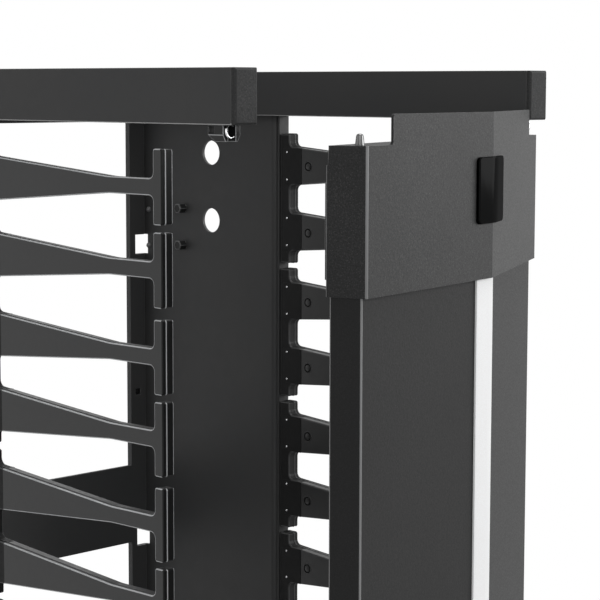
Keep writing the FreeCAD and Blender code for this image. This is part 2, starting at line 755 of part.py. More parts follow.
def door_cap(name, way):
    """A folded cap over the door's end, cut away at both corners to pass the tubes."""
    body = new_body(name)
    corner = CAP_TOP_Z if way > 0 else CAP_LOW_Z
    crown = "(%s + %d * notch_height)" % (corner, way)
    mouth = "(%s - %d * cap_height)" % (corner, way)
    back = "(%s + cap_flange)" % door_front(HALF_WIDTH, "0")
    up = way > 0
    low_half = "(%s - notch_width)" % HALF_WIDTH
    wide = new_sketch(body, name + "_wide", "XY_Plane", mouth)
    outline(wide, creased_profile(HALF_WIDTH, "0", back))
    pad(body, wide, "cap_height", backwards=not up)
    crest = new_sketch(body, name + "_crest", "XY_Plane", corner)
    outline(crest, creased_strip(low_half, "0", "crest_thickness"))
    pad(body, crest, "notch_height", backwards=not up)
    open_back = "(%s + cut_overrun)" % back
    hollow = new_sketch(body, name + "_hollow", "XY_Plane", "%s - %d * cut_overrun" % (mouth, way))
    outline(hollow, creased_profile(SKIN_HALF, SKIN_DEPTH, open_back))
    pocket(body, hollow, "cap_height - cap_roof + cut_overrun", backwards=up)
    step = new_sketch(body, name + "_rear_step", "XY_Plane", "%s + %d * cut_overrun" % (corner, way))
    past_side = "(%s + cut_overrun)" % HALF_WIDTH
    rectangle(step, from_middle(-1, past_side), from_middle(1, past_side),
              "(%s - flange_step_depth)" % back, open_back)
    pocket(body, step, "flange_step_height + cut_overrun", backwards=not up)
    holes = new_sketch(body, name + "_pin_holes", "XY_Plane", "%s - %d * 2 * cap_roof" % (corner, way))
    for across in ("0", "(-2 * %s)" % HINGE_X):
        circle(holes, across, "0", "pin_bore + 2 * roof_hole_gap")
    pocket(body, holes, "3 * cap_roof", backwards=up)
    hang_on_hinge(body)
    return body


# Door pins. Each slides in two ears of a guide and is pushed out by a coil spring.

def pin_place(body, side):
    """Pin pieces are drawn about their own axis; the left ones sit across the door."""
    if side > 0:
        place(body, HINGE_X, HINGE_Y)
    else:
        reach = "2 * %s" % HINGE_X
        place(body, "%s - %s * cos(open_angle * 1 deg)" % (HINGE_X, reach),
              "%s - %s * sin(open_angle * 1 deg)" % (HINGE_Y, reach))
    body.setExpression("Placement.Rotation.Angle", bound("open_angle"))


def below(way, drop):
    """A height inside the door, measured from the cap's corner face towards the door's middle."""
    corner = CAP_TOP_Z if way > 0 else CAP_LOW_Z
    return "(%s - %d * (%s))" % (corner, way, drop)


def door_pin(name, side, way):
    body = new_body("door_pin_" + name)
    profile = new_sketch(body, name + "_pin_profile", "XZ_Plane")
    outline(profile, [
        ("0", below(way, "pin_tail_length")), ("pin_bore / 2", below(way, "pin_tail_length")),
        ("pin_bore / 2", below(way, "0")), ("pin_tip_bore / 2", below(way, "-pin_taper_length")),
        ("0", below(way, "-pin_taper_length")),
    ])
    revolve(body, profile)
    pin_place(body, side)
    return body


def knob_top():
    return "(guide_top_ear_drop + guide_top_ear + knob_gap)"


def pin_knob(name, side, way):
    """A hub whose eight-sided bore is pressed on the pin, with a peg that a finger pulls."""
    body = new_body("pin_knob_" + name)
    hub_end = below(way, knob_top())
    hub = new_sketch(body, name + "_knob_hub", "XY_Plane", hub_end)
    regular_polygon(hub, "0", "0", "knob_hub_width", 8)
    regular_polygon(hub, "0", "0", "pin_bore", 8)
    pad(body, hub, "knob_hub_height", backwards=way > 0)
    start = "((pin_bore + knob_hub_width) / 4)"
    peg = new_sketch(body, name + "_knob_peg", "XZ_Plane", "-" + start)
    regular_polygon(peg, "0", below(way, "%s + knob_hub_height / 2" % knob_top()), "knob_peg_width", 8)
    pad(body, peg, "knob_peg_length - %s" % start, backwards=True)
    pin_place(body, side)
    return body


def pin_guide(name, side, way):
    """A channel fixed inside the door's return, with two ears bored for the pin."""
    body = new_body("pin_guide_" + name)
    wall = along_side(side, "(%s - skin_thickness - %s)" % (SKIN_HALF, HINGE_X))
    plate_in = along_side(side, "(%s - skin_thickness - %s - guide_plate)" % (SKIN_HALF, HINGE_X))
    far = along_side(side, "(-guide_ear_reach)")
    back = "(%s + cap_flange + guide_overhang)" % door_front(HALF_WIDTH, "0")
    front = "(%s - guide_overhang - guide_width - guide_ear_reach)" % back
    top, foot = "guide_top_ear_drop", "(guide_foot_drop + guide_foot_ear)"
    depth = "(%s - %s)" % (foot, top)
    plate = new_sketch(body, name + "_guide_plate", "XY_Plane", below(way, top))
    rectangle(plate, wall, plate_in, front, back)
    pad(body, plate, depth, backwards=way > 0)
    for part, drop, thick in (("upper", "guide_top_ear_drop", "guide_top_ear"),
                              ("lower", "guide_foot_drop", "guide_foot_ear")):
        ear = new_sketch(body, "%s_guide_%s" % (name, part), "XY_Plane", below(way, drop))
        rectangle(ear, wall, far, front, back)
        pad(body, ear, thick, backwards=way > 0)
    bore = new_sketch(body, name + "_guide_bore", "XY_Plane", below(way, "%s - cut_overrun" % top))
    circle(bore, "0", "0", "pin_bore + 2 * pin_fit")
    pocket(body, bore, depth + " + 2 * cut_overrun", backwards=way < 0)
    pin_place(body, side)
    return body


def spring_shape(foot, head):
    """A coil of square wire in straight runs, six to a turn, between two heights."""
    per_turn = 6
    turns, wire = int(value("spring_turns")), value("spring_wire")
    outer = value("spring_bore") / 2
    inner = outer - wire
    steps = turns * per_turn
    rise = (head - foot - wire) / steps
    rings = []
    for i in range(steps + 1):
        turn, low = 2 * math.pi * i / per_turn, foot + i * rise
        ray = V(math.cos(turn), math.sin(turn), 0)
        rings.append([ray * inner + V(0, 0, low), ray * outer + V(0, 0, low),
                      ray * outer + V(0, 0, low + wire), ray * inner + V(0, 0, low + wire)])
    face = lambda points: Part.Face(Part.makePolygon(points + points[:1]))
    faces = [face(rings[0]), face(rings[-1])]
    for here, there in zip(rings, rings[1:]):
        for a, b in ((0, 1), (1, 2), (2, 3), (3, 0)):
            if a in (1, 3):
                faces.append(face([here[a], here[b], there[b], there[a]]))
            else:
                faces.append(face([here[a], here[b], there[b]]))
                faces.append(face([here[a], there[b], there[a]]))
    return Part.Solid(Part.Shell(faces))


def pin_spring(name, side, way):
    """The coil between the knob's hub and the guide's lower ear."""
    feature = doc.addObject("Part::Feature", "pin_spring_" + name)
    feature.Label = "pin_spring_" + name
    at_hub = value(below(way, knob_top() + " + knob_hub_height"))
    at_ear = value(below(way, "guide_foot_drop"))
    feature.Shape = spring_shape(*sorted([at_hub, at_ear]))
    pin_place(feature, side)
    return feature


# Fasteners, in two groups of separate bolts.

def necked_bolts(body, name, plane, seat, spots, grip, head_first):
    """Eight-sided heads on one face of the sheets and square necks through them, at each spot."""
    heads = new_sketch(body, name + "_heads", plane, seat)
    necks = new_sketch(body, name + "_necks", plane, seat)
    for across, up in spots:
        regular_polygon(heads, across, up, "bolt_head_width", 8)
        square(necks, across, up, "bolt_neck_width")
    pad(body, heads, "bolt_head_height", backwards=head_first)
    return pad(body, necks, grip, backwards=not head_first)


def panel_bolts():
    """Bolts from behind that hold the panel to the channels, the top tie and the base flange."""
    body = new_body("panel_bolts")
    seat = "-(%s + 2 * sheet_thickness)" % PANEL_Y
    spots = [(along_side(side, PANEL_BOLT_X), PANEL_BOLT_Z) for side_name, side in SIDES]
    pair = necked_bolts(body, "panel_side_bolts", "XZ_Plane", seat, spots, "2 * sheet_thickness", True)
    doc.recompute()
    panel_bolt_row(body, pair, whole=True)
    panel_back = "-(%s + sheet_thickness)" % PANEL_Y
    ends = (("tie_bolts", TIE_BOLT_Z, "bar_wall"), ("foot_bolts", FOOT_BOLT_Z, "base_thickness"))
    for name, level, wall in ends:
        spots = [(along_side(side, TIE_BOLT_X), level) for side_name, side in SIDES]
        necked_bolts(body, name, "XZ_Plane", panel_back, spots, "sheet_thickness + " + wall, True)
    return body


def bay_bolts():
    """Bolts through the webs, heads inside, that join the channel to the racks beside it."""
    body = new_body("bay_bolts")
    for side_name, side in SIDES:
        spots = [(BAY_BOLT_Y, level) for level in bay_bolt_levels()]
        necked_bolts(body, side_name + "_bay_bolts", "YZ_Plane", along_side(side, WEB_X), spots,
                  "sheet_thickness", side > 0)
    return body


doc.recompute()
for side_name, side in SIDES:
    side_bar("top_bar_" + side_name, side, TOP_BAR_Z)
    side_bar("bottom_bar_" + side_name, side, "base_thickness")
    for end, front in (("front", True), ("rear", False)):
        end_cap("end_cap_top_%s_%s" % (side_name, end), side, TOP_BAR_Z, front)
        end_cap("end_cap_bottom_%s_%s" % (side_name, end), side, "base_thickness", front)
    side_channel("side_channel_" + side_name, side)
top_tie()
base_plate()
back_panel()
all_finger_stacks()
for corner_name, side, way in corner_list():
    latch_socket(corner_name, side, way)
    latch_clip(corner_name, side, way)
    door_pin(corner_name, side, way)
    pin_knob(corner_name, side, way)
    pin_guide(corner_name, side, way)
    pin_spring(corner_name, side, way)
door_skin()
accent_strip()
badge_plate()
door_cap("door_cap_top", 1)
door_cap("door_cap_bottom", -1)
panel_bolts()
bay_bolts()
doc.recompute()

# Check every object, then write one file for each sub-part.
for item in doc.Objects:
    if "Invalid" in item.State or "Error" in item.State:
        raise RuntimeError("%s failed: %s" % (item.Name, item.State))

sub_parts = [item for item in doc.Objects if item.TypeId in ("PartDesign::Body", "Part::Feature")]
for item in sub_parts:
    if item.Shape.isNull() or not item.Shape.isValid() or not item.Shape.Solids:
        raise RuntimeError("%s has no valid solid" % item.Label)

os.makedirs("parts", exist_ok=True)
for item in sub_parts:
    item.Shape.exportStep("parts/%s.step" % item.Label)
print(len(sub_parts), "sub-parts written")
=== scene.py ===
# Looks of the vertical cable manager: finishes, finer mouldings and folds, a studio and a camera.
#
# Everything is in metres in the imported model's own frame: +Z up, the front towards -Y and the
# door's hinge on the +X side. Places come from the CAD nodes' boxes. Sizes that the boxes don't
# give are written below: the part's own, or measured against the photograph.

import json
import math

import bmesh
import bpy
from mathutils import Matrix, Vector


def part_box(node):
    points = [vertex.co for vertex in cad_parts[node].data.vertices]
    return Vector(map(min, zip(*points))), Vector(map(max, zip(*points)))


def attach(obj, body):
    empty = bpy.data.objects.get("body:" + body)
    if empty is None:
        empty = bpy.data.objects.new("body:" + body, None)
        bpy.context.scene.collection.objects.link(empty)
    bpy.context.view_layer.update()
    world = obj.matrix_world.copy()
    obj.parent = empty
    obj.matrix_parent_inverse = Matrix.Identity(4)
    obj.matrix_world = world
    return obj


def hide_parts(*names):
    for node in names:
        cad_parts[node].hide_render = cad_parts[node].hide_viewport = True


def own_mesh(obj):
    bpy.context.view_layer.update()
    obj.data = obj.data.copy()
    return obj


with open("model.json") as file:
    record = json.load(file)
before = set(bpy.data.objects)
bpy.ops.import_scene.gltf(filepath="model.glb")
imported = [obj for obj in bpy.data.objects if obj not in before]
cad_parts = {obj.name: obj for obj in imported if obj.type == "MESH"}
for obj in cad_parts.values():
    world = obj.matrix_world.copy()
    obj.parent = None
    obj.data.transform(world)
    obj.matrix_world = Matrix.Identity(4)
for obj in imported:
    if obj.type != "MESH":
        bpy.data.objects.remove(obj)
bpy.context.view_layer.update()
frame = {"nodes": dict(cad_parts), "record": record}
nodes = frame["nodes"]

MM = 0.001
CORNERS = ("top_left", "top_right", "bottom_left", "bottom_right")

# What counts as one point, as flat and as a sharp edge when a CAD mesh is worked on.
WELD_DISTANCE = 0.002 * MM
FLAT_ANGLE = math.radians(0.5)
SHARP_ANGLE = math.radians(35.0)
SOFT_SEGMENTS = 2

# Sizes of one cable finger module, seen from the side.
MODULE_PITCH = 88.9 * MM
MODULE_HEIGHT = 85.5 * MM
FINGER_PITCH = 43.3 * MM
BASE_DEPTH = 8.9 * MM
ROOT_HEIGHT = 25.8 * MM
NECK_HEIGHT = 9.0 * MM
NECK_LENGTH = 35.6 * MM
HEAD_HEIGHT = 39.6 * MM
HEAD_DEPTH = 6.7 * MM

# The door, seen from above when shut: its middle, its crease and how far it is swung open.
HINGE = Vector((118.9, -162.6, 0.0)) * MM
OPEN_ANGLE = math.radians(19.0)
DOOR_HALF_WIDTH = 127.0 * MM
DOOR_FRONT_REACH = 7.6 * MM
CREASE_SLOPE = 18.3 / 127.0
CAP_TOP_Z = 2096.5 * MM
BADGE_DROP = 8.5 * MM
BADGE_WIDTH = 37.0 * MM
BADGE_HEIGHT = 35.0 * MM
BADGE_THICKNESS = 2.0 * MM
BADGE_CORNER = 2.6 * MM
BADGE_RIM = 0.6 * MM

# The camera that took the photograph, worked out from the object's straight edges.
CAMERA_PLACE = (-0.80676, -0.87766, 2.12480)
CAMERA_HEADING = math.radians(44.0228)
CAMERA_TILT = math.radians(-6.2008)
CAMERA_ROLL = math.radians(0.1222)
FOCAL_PIXELS = 1969.70
IMAGE_PIXELS = 600
SENSOR_WIDTH = 36.0


# Finishes

# Rounded frame edges below this height carry a painted highlight.
HIGHLIGHT_BELOW = 2106.0 * MM

# Where a Mix node keeps its colour sockets.
MIX_FIRST, MIX_SECOND, MIX_RESULT = 6, 7, 2


class Finish:
    """A node material round one Principled shader. Its texture space is the frame, in metres."""

    def __init__(self, name, **constants):
        self.material = bpy.data.materials.new(name)
        self.material.use_nodes = True
        self.nodes = self.material.node_tree.nodes
        self.links = self.material.node_tree.links
        self.shader = self.nodes["Principled BSDF"]
        self.space = self.nodes.new("ShaderNodeTexCoord").outputs["Object"]
        for socket, amount in constants.items():
            self.shader.inputs[socket.replace("_", " ")].default_value = amount

    def noise(self, size, detail=2.0, stretch=(1.0, 1.0, 1.0)):
        """Cloudy noise whose blobs are about size across, drawn out along an axis by stretch."""
        mapping = self.nodes.new("ShaderNodeMapping")
        mapping.inputs["Scale"].default_value = stretch
        self.links.new(self.space, mapping.inputs["Vector"])
        texture = self.nodes.new("ShaderNodeTexNoise")
        texture.inputs["Scale"].default_value = 1.0 / size
        texture.inputs["Detail"].default_value = detail
        self.links.new(mapping.outputs["Vector"], texture.inputs["Vector"])
        return texture.outputs["Fac"]

    def grains(self, size):
        """Distance to the nearest of many scattered grains, about size apart."""
        texture = self.nodes.new("ShaderNodeTexVoronoi")
        texture.inputs["Scale"].default_value = 1.0 / size
        self.links.new(self.space, texture.inputs["Vector"])
        return texture.outputs["Distance"]

    def remap(self, source, low, high, to_low, to_high):
        node = self.nodes.new("ShaderNodeMapRange")
        limits = {"From Min": low, "From Max": high, "To Min": to_low, "To Max": to_high}
        for socket, amount in limits.items():
            node.inputs[socket].default_value = amount
        self.links.new(source, node.inputs["Value"])
        return node.outputs["Result"]

    def spread(self, noise, to_low, to_high):
        """Noise, which lies mostly between 0.3 and 0.7, spread over a range."""
        return self.remap(noise, 0.3, 0.7, to_low, to_high)

    def blend(self, factor, first, second):
        """A colour between two, each a linear colour or another node's output."""
        node = self.nodes.new("ShaderNodeMix")
        node.data_type = "RGBA"
        self.links.new(factor, node.inputs["Factor"])
        for socket, colour in ((node.inputs[MIX_FIRST], first), (node.inputs[MIX_SECOND], second)):
            if isinstance(colour, tuple):
                socket.default_value = colour
            else:
                self.links.new(colour, socket)
        return node.outputs[MIX_RESULT]

    def bump(self, height, depth, strength=1.0, over=None):
        node = self.nodes.new("ShaderNodeBump")
        node.inputs["Strength"].default_value = strength
        node.inputs["Distance"].default_value = depth
        self.links.new(height, node.inputs["Height"])
        if over is not None:
            self.links.new(over, node.inputs["Normal"])
        return node.outputs["Normal"]

    def feed(self, **sources):
        for socket, source in sources.items():
            self.links.new(source, self.shader.inputs[socket.replace("_", " ")])


def grey(level, warmth=0.0):
    """A linear colour from a grey level of 0 to 255 as a screen shows it."""
    shares = (level * (1 + warmth) / 255, level / 255, level * (1 - warmth) / 255)
    return tuple(s / 12.92 if s <= 0.04045 else ((s + 0.055) / 1.055) ** 2.4 for s in shares) + (1.0,)


def powder_coat(name, level, speckle, rough, specular=0.3):
    """Textured powder coat: dark and light specks over an orange-peel skin."""
    finish = Finish(name, Specular_IOR_Level=specular)
    fine = finish.spread(finish.noise(0.7 * MM, 3.0), 0.0, 1.0)
    body = finish.blend(fine, grey(level - speckle), grey(level + speckle, -0.01))
    specks = finish.remap(finish.grains(1.1 * MM), 0.12, 0.34, 1.0, 0.0)
    clouds = finish.spread(finish.noise(40 * MM, 3.0), 0.0, 0.35)
    flecked = finish.blend(specks, body, grey(level + 2.4 * speckle, 0.005))
    colour = finish.blend(clouds, flecked, grey(level - speckle))
    peel = finish.bump(finish.noise(1.6 * MM, 1.0), 0.10 * MM, 0.5)
    grit = finish.bump(finish.noise(0.5 * MM, 2.0), 0.05 * MM, 0.6, over=peel)
    gloss = finish.spread(finish.noise(0.9 * MM, 2.0), rough - 0.07, rough + 0.07)
    finish.feed(Base_Color=colour, Roughness=gloss, Normal=grit)
    return finish.material


def satin_paint(name, level, rough, specular=0.3):
    """Smooth satin paint with a faint orange peel and a little uneven gloss."""
    finish = Finish(name, Specular_IOR_Level=specular)
    clouds = finish.noise(60 * MM, 4.0)
    colour = finish.blend(clouds, grey(level - 3, -0.02), grey(level + 3, 0.01))
    peel = finish.bump(finish.noise(2.2 * MM, 2.0), 0.05 * MM, 0.5)
    gloss = finish.spread(finish.noise(7 * MM, 3.0), rough - 0.05, rough + 0.05)
    finish.feed(Base_Color=colour, Roughness=gloss, Normal=peel)
    return finish.material


def moulded_plastic(name, level, rough, specular=0.4):
    """Moulded nylon: a fine spark-eroded grain with slow flow marks."""
    finish = Finish(name, Specular_IOR_Level=specular)
    flow = finish.noise(30 * MM, 3.0, stretch=(1.0, 0.3, 1.0))
    colour = finish.blend(flow, grey(level - 4, -0.02), grey(level + 4, 0.0))
    grain = finish.bump(finish.noise(0.45 * MM, 2.0), 0.03 * MM, 0.5)
    gloss = finish.spread(finish.noise(3 * MM, 3.0), rough - 0.06, rough + 0.06)
    finish.feed(Base_Color=colour, Roughness=gloss, Normal=grain)
    return finish.material


def bare_steel(name, level, rough, drawn):
    """Bright plated steel with drawn lines along the frame's vertical."""
    finish = Finish(name, Metallic=1.0)
    lines = finish.noise(0.4 * MM, 3.0, stretch=(1.0, 1.0, drawn))
    colour = finish.blend(lines, grey(level - 18, -0.01), grey(level + 10, 0.0))
    scratches = finish.bump(lines, 0.02 * MM, 0.4)
    gloss = finish.spread(finish.noise(2 * MM, 2.0), rough - 0.06, rough + 0.08)
    finish.feed(Base_Color=colour, Roughness=gloss, Normal=scratches)
    return finish.material


def reflection_streaked_steel(name, dark, light):
    """Turned pin steel whose colour runs in dark and light streaks along the pin: painted reflections."""
    finish = Finish(name, Metallic=1.0)
    # Painted reflection: these streaks give the pin its dark and light bands.
    reflections = finish.remap(finish.noise(3.4 * MM, 1.0, stretch=(1.0, 1.0, 0.03)), 0.4, 0.6, 0.0, 1.0)
    fine = finish.noise(0.5 * MM, 2.0, stretch=(1.0, 1.0, 0.2))
    colour = finish.blend(reflections, grey(dark), grey(light))
    scratches = finish.bump(fine, 0.02 * MM, 0.4)
    gloss = finish.spread(fine, 0.22, 0.36)
    finish.feed(Base_Color=colour, Roughness=gloss, Normal=scratches)
    return finish.material


def edge_highlight_paint(name, level, highlight_level):
    """Paint on rounded edges with a painted highlight: drawn lighter up to the level of the top bars' lower
    edge.
    """
    finish = Finish(name, Specular_IOR_Level=0.25)
    height = finish.nodes.new("ShaderNodeSeparateXYZ")
    finish.links.new(finish.space, height.inputs[0])
    # Painted highlight: the edge colour turns light below this height.
    lit_below = finish.remap(height.outputs["Z"], HIGHLIGHT_BELOW, HIGHLIGHT_BELOW + 0.5 * MM, 1.0, 0.0)
    colour = finish.blend(lit_below, grey(level), grey(highlight_level))
    gloss = finish.spread(finish.noise(7 * MM, 3.0), 0.36, 0.46)
    peel = finish.bump(finish.noise(2.2 * MM, 2.0), 0.05 * MM, 0.5)
    finish.feed(Base_Color=colour, Roughness=gloss, Normal=peel)
    return finish.material


def gloss_black(name):
    """The bare badge: deep gloss black with the faintest waviness."""
    finish = Finish(name, Specular_IOR_Level=0.0, Coat_Weight=0.05, Coat_Roughness=0.08)
    cloud = finish.noise(12 * MM, 2.0)
    colour = finish.blend(cloud, grey(8), grey(13, -0.05))
    wave = finish.bump(finish.noise(9 * MM, 1.0), 0.03 * MM, 0.3)
    gloss = finish.spread(cloud, 0.16, 0.24)
    finish.feed(Base_Color=colour, Roughness=gloss, Normal=wave)
    return finish.material


def pale_paint(name, level):
    """Pale silver paint with a fine metal flake."""
    finish = Finish(name, Metallic=0.05, Specular_IOR_Level=0.25)
    flake = finish.remap(finish.grains(0.5 * MM), 0.1, 0.5, 1.0, 0.0)
    colour = finish.blend(flake, grey(level - 7), grey(level + 6, -0.01))
    peel = finish.bump(finish.noise(1.8 * MM, 2.0), 0.05 * MM, 0.4)
    gloss = finish.spread(finish.noise(1.2 * MM, 2.0), 0.32, 0.44)
    finish.feed(Base_Color=colour, Roughness=gloss, Normal=peel)
    return finish.material


finishes = {
    "frame_paint": satin_paint("frame_paint", 55, 0.45, specular=0.16),
    "channel_paint": satin_paint("channel_paint", 64, 0.5, specular=0.2),
    "door_paint": powder_coat("door_paint", 34, 3, 0.52, specular=0.09),
    "cap_paint": powder_coat("cap_paint", 35, 11, 0.5, specular=0.14),
    "accent_paint": pale_paint("accent_paint", 222),
    "badge_gloss": gloss_black("badge_gloss"),
    "end_cap_plastic": powder_coat("end_cap_plastic", 50, 9, 0.6, specular=0.08),
    "finger_plastic": moulded_plastic("finger_plastic", 35, 0.36, specular=0.35),
    "socket_plastic": moulded_plastic("socket_plastic", 26, 0.32, specular=0.2),
    "knob_plastic": moulded_plastic("knob_plastic", 30, 0.4, specular=0.2),
    "bright_steel": bare_steel("bright_steel", 208, 0.2, 0.1),
    "pin_steel_reflection": reflection_streaked_steel("pin_steel_reflection", 26, 108),
    "spring_steel": bare_steel("spring_steel", 178, 0.26, 0.5),
    "guide_paint": satin_paint("guide_paint", 40, 0.45, specular=0.15),
    "black_steel": satin_paint("black_steel", 24, 0.4, specular=0.15),
    "bolt_steel": satin_paint("bolt_steel", 40, 0.45, specular=0.15),
    # Painted highlight on the frame's and guides' rounded edges.
    "frame_edge_highlight": edge_highlight_paint("frame_edge_highlight", 50, 165),
    # Painted highlight: the channel's rounded edges are drawn lighter than its paint.
    "channel_edge_highlight": satin_paint("channel_edge_highlight", 92, 0.42, specular=0.25),
    # Painted shade: the lip is a darker copy of the channel paint.
    "lip_shade_paint": satin_paint("lip_shade_paint", 55, 0.5, specular=0.16),
    # Painted highlights on the door's and caps' folds and edges.
    "door_edge_highlight": satin_paint("door_edge_highlight", 112, 0.4, specular=0.2),
    "cap_edge_highlight": satin_paint("cap_edge_highlight", 118, 0.4, specular=0.2),
    # Painted shade: the end caps' rounded edges are drawn darker than the cap.
    "end_cap_edge_shade": satin_paint("end_cap_edge_shade", 46, 0.5, specular=0.1),
    # Painted highlights: the fingers' rims and ridges are drawn lighter than the plastic.
    "finger_rim_highlight": moulded_plastic("finger_rim_highlight", 175, 0.34, specular=0.4),
    # Darker, duller plastic towards the roots; on the head fronts it is painted shade.
    "finger_dull_and_shade": moulded_plastic("finger_dull_and_shade", 26, 0.55, specular=0.12),
    # A milder painted highlight on the inner rims and ridges.
    "finger_inner_rim_highlight": moulded_plastic("finger_inner_rim_highlight", 56, 0.36, specular=0.35),
    # Painted highlight on the sockets' rounded edges.
    "socket_edge_highlight": moulded_plastic("socket_edge_highlight", 150, 0.34, specular=0.3),
    # Painted glints on the bolt heads' corners; the rivet domes share this lighter finish.
    "steel_glint_and_rivet": satin_paint("steel_glint_and_rivet", 105, 0.35, specular=0.4),
}

# In these slots the rounded edges have a finish of their own: painted highlights, and painted shade on the
# end caps.
EDGE_LIGHT_AND_SHADE_FINISHES = {
    "frame_paint": "frame_edge_highlight", "channel_paint": "channel_edge_highlight", "end_cap_plastic": "end_cap_edge_shade",
    "socket_plastic": "socket_edge_highlight", "guide_paint": "frame_edge_highlight",
}


# Mesh tools

def new_piece(name, mesh_maker, body, slot, *stands_for, finish=None, all_smooth=True):
    """An object from an edited mesh, riding on a body and standing for CAD nodes."""
    mesh = bpy.data.meshes.new(name)
    mesh_maker.normal_update()
    mesh_maker.to_mesh(mesh)
    mesh_maker.free()
    piece = bpy.data.objects.new(name, mesh)
    bpy.context.scene.collection.objects.link(piece)
    for layer in finish or (slot,):
        mesh.materials.append(finishes[layer])
    if all_smooth:
        for face in mesh.polygons:
            face.use_smooth = True
        even_shading(piece)
    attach(piece, body)
    if stands_for:
        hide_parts(*stands_for)
    return piece


def even_shading(piece):
    """Flat faces stay flat beside rounded edges."""
    shading = piece.modifiers.new("even_shading", "WEIGHTED_NORMAL")
    shading.keep_sharp = False
    shading.weight = 100


def soften_node(name, width):
    """Round a CAD node's edges with modifiers alone, its own mesh untouched."""
    node = nodes[name]
    weld = node.modifiers.new("weld", "WELD")
    weld.merge_threshold = WELD_DISTANCE
    flatten = node.modifiers.new("whole_faces", "DECIMATE")
    flatten.decimate_type = "DISSOLVE"
    flatten.angle_limit = FLAT_ANGLE
    rounding = node.modifiers.new("rounding", "BEVEL")
    rounding.width = width
    rounding.segments = SOFT_SEGMENTS
    rounding.limit_method = "ANGLE"
    rounding.angle_limit = SHARP_ANGLE
    # The rounded edges take the slot's last finish: a painted highlight, or painted shade on the end caps,
    # where one is listed.
    rounding.material = len(node.data.materials) - 1
    even_shading(node)


def rounded_outline(corners, most_turn=math.radians(15)):
    """Points round a closed outline whose corners, each (across, up, radius), become arcs."""
    points = []
    for i, (across, up, radius) in enumerate(corners):
        here = Vector((across, up))
        back = (Vector(corners[i - 1][:2]) - here).normalized()
        ahead = (Vector(corners[(i + 1) % len(corners)][:2]) - here).normalized()
        if radius <= 0:
            points.append(here)
            continue
        half = back.angle(ahead) / 2
        centre = here + (back + ahead).normalized() * radius / math.sin(half)
        spoke = here + back * radius / math.tan(half) - centre
        end = here + ahead * radius / math.tan(half) - centre
        turn = math.copysign(math.pi - 2 * half, spoke.x * end.y - spoke.y * end.x)
        steps = max(2, math.ceil(abs(turn) / most_turn))
        points += [centre + Matrix.Rotation(turn * k / steps, 2) @ spoke for k in range(steps + 1)]
    return points


def prism(mesh, points, place, near, far):
    """A prism from near to far. place(point, level) gives the corner for an outline point."""
    rings = [[mesh.verts.new(place(point, level)) for point in points] for level in (near, far)]
    mesh.faces.new(rings[0][::-1])
    mesh.faces.new(rings[1])
    for i in range(len(points)):
        follower = (i + 1) % len(points)
        mesh.faces.new((rings[0][i], rings[0][follower], rings[1][follower], rings[1][i]))


def inset_outline(points, distance):
    """The same outline moved inwards all round."""
    pairs = list(zip(points, points[1:] + points[:1]))
    inwards = math.copysign(1.0, sum(a.x * b.y - b.x * a.y for a, b in pairs))
    moved = []
    for i, here in enumerate(points):
        back = (here - points[i - 1]).normalized()
        ahead = (points[(i + 1) % len(points)] - here).normalized()
        off_back = inwards * Vector((-back.y, back.x))
        way = (off_back + inwards * Vector((-ahead.y, ahead.x))).normalized()
        moved.append(here + way * distance / max(0.3, way.dot(off_back)))
    return moved


def loft(mesh, rings, bands):
    """A closed skin over rings of vertices. Each band between two rings has its own finish."""
    faces = [mesh.faces.new(rings[0]), mesh.faces.new(rings[-1][::-1])]
    for ring, following, band in zip(rings, rings[1:], bands):
        for k in range(len(ring)):
            beside = (k + 1) % len(ring)
            face = mesh.faces.new((ring[k], ring[beside], following[beside], following[k]))
            face.material_index = band
            faces.append(face)
    bmesh.ops.recalc_face_normals(mesh, faces=faces)


def cut(mesh, place, facing):
    """Cut a mesh's faces along a plane and keep both sides."""
    bmesh.ops.bisect_plane(mesh, geom=mesh.verts[:] + mesh.edges[:] + mesh.faces[:],
                           plane_co=place, plane_no=facing, dist=1e-7)


def round_edges(mesh, edges, width, segments=3, band=-1):
    """Round edges. band gives the new faces a finish of their own."""
    rounded = bmesh.ops.bevel(mesh, geom=list(edges), offset=width, segments=segments, profile=0.5,
                              affect="EDGES", clamp_overlap=True, material=band)
    for face in rounded["faces"]:
        face.smooth = True


def round_each(mesh, edges, width, segments, band=-1):
    """Round edges one by one, so that a short edge limits only itself."""
    for edge in edges:
        if edge.is_valid:
            round_edges(mesh, [edge], width, segments, band)
    mesh.normal_update()


def block(mesh, low, high, rounding):
    """A box with rounded edges."""
    points = [Vector((low[0], low[1])), Vector((high[0], low[1])), Vector((high[0], high[1])),
              Vector((low[0], high[1]))]
    known = set(mesh.edges)
    prism(mesh, points, lambda point, level: (point.x, point.y, level), low[2], high[2])
    round_edges(mesh, [edge for edge in mesh.edges if edge not in known], rounding, SOFT_SEGMENTS)


def lathe(mesh, profile, place, sides=32):
    """A turned solid. profile runs along the axis as (along, radius); place maps (x, y, along)."""
    rings = []
    for along, radius in profile:
        if radius <= 0:
            rings.append([mesh.verts.new(place(0.0, 0.0, along))])
            continue
        rings.append([mesh.verts.new(place(radius * math.cos(2 * math.pi * k / sides),
                                           radius * math.sin(2 * math.pi * k / sides), along))
                      for k in range(sides)])
    for ring, following in zip(rings, rings[1:]):
        for k in range(sides):
            beside = (k + 1) % sides
            if len(ring) == 1:
                mesh.faces.new((ring[0], following[beside], following[k]))
            elif len(following) == 1:
                mesh.faces.new((ring[k], ring[beside], following[0]))
            else:
                mesh.faces.new((ring[k], ring[beside], following[beside], following[k]))


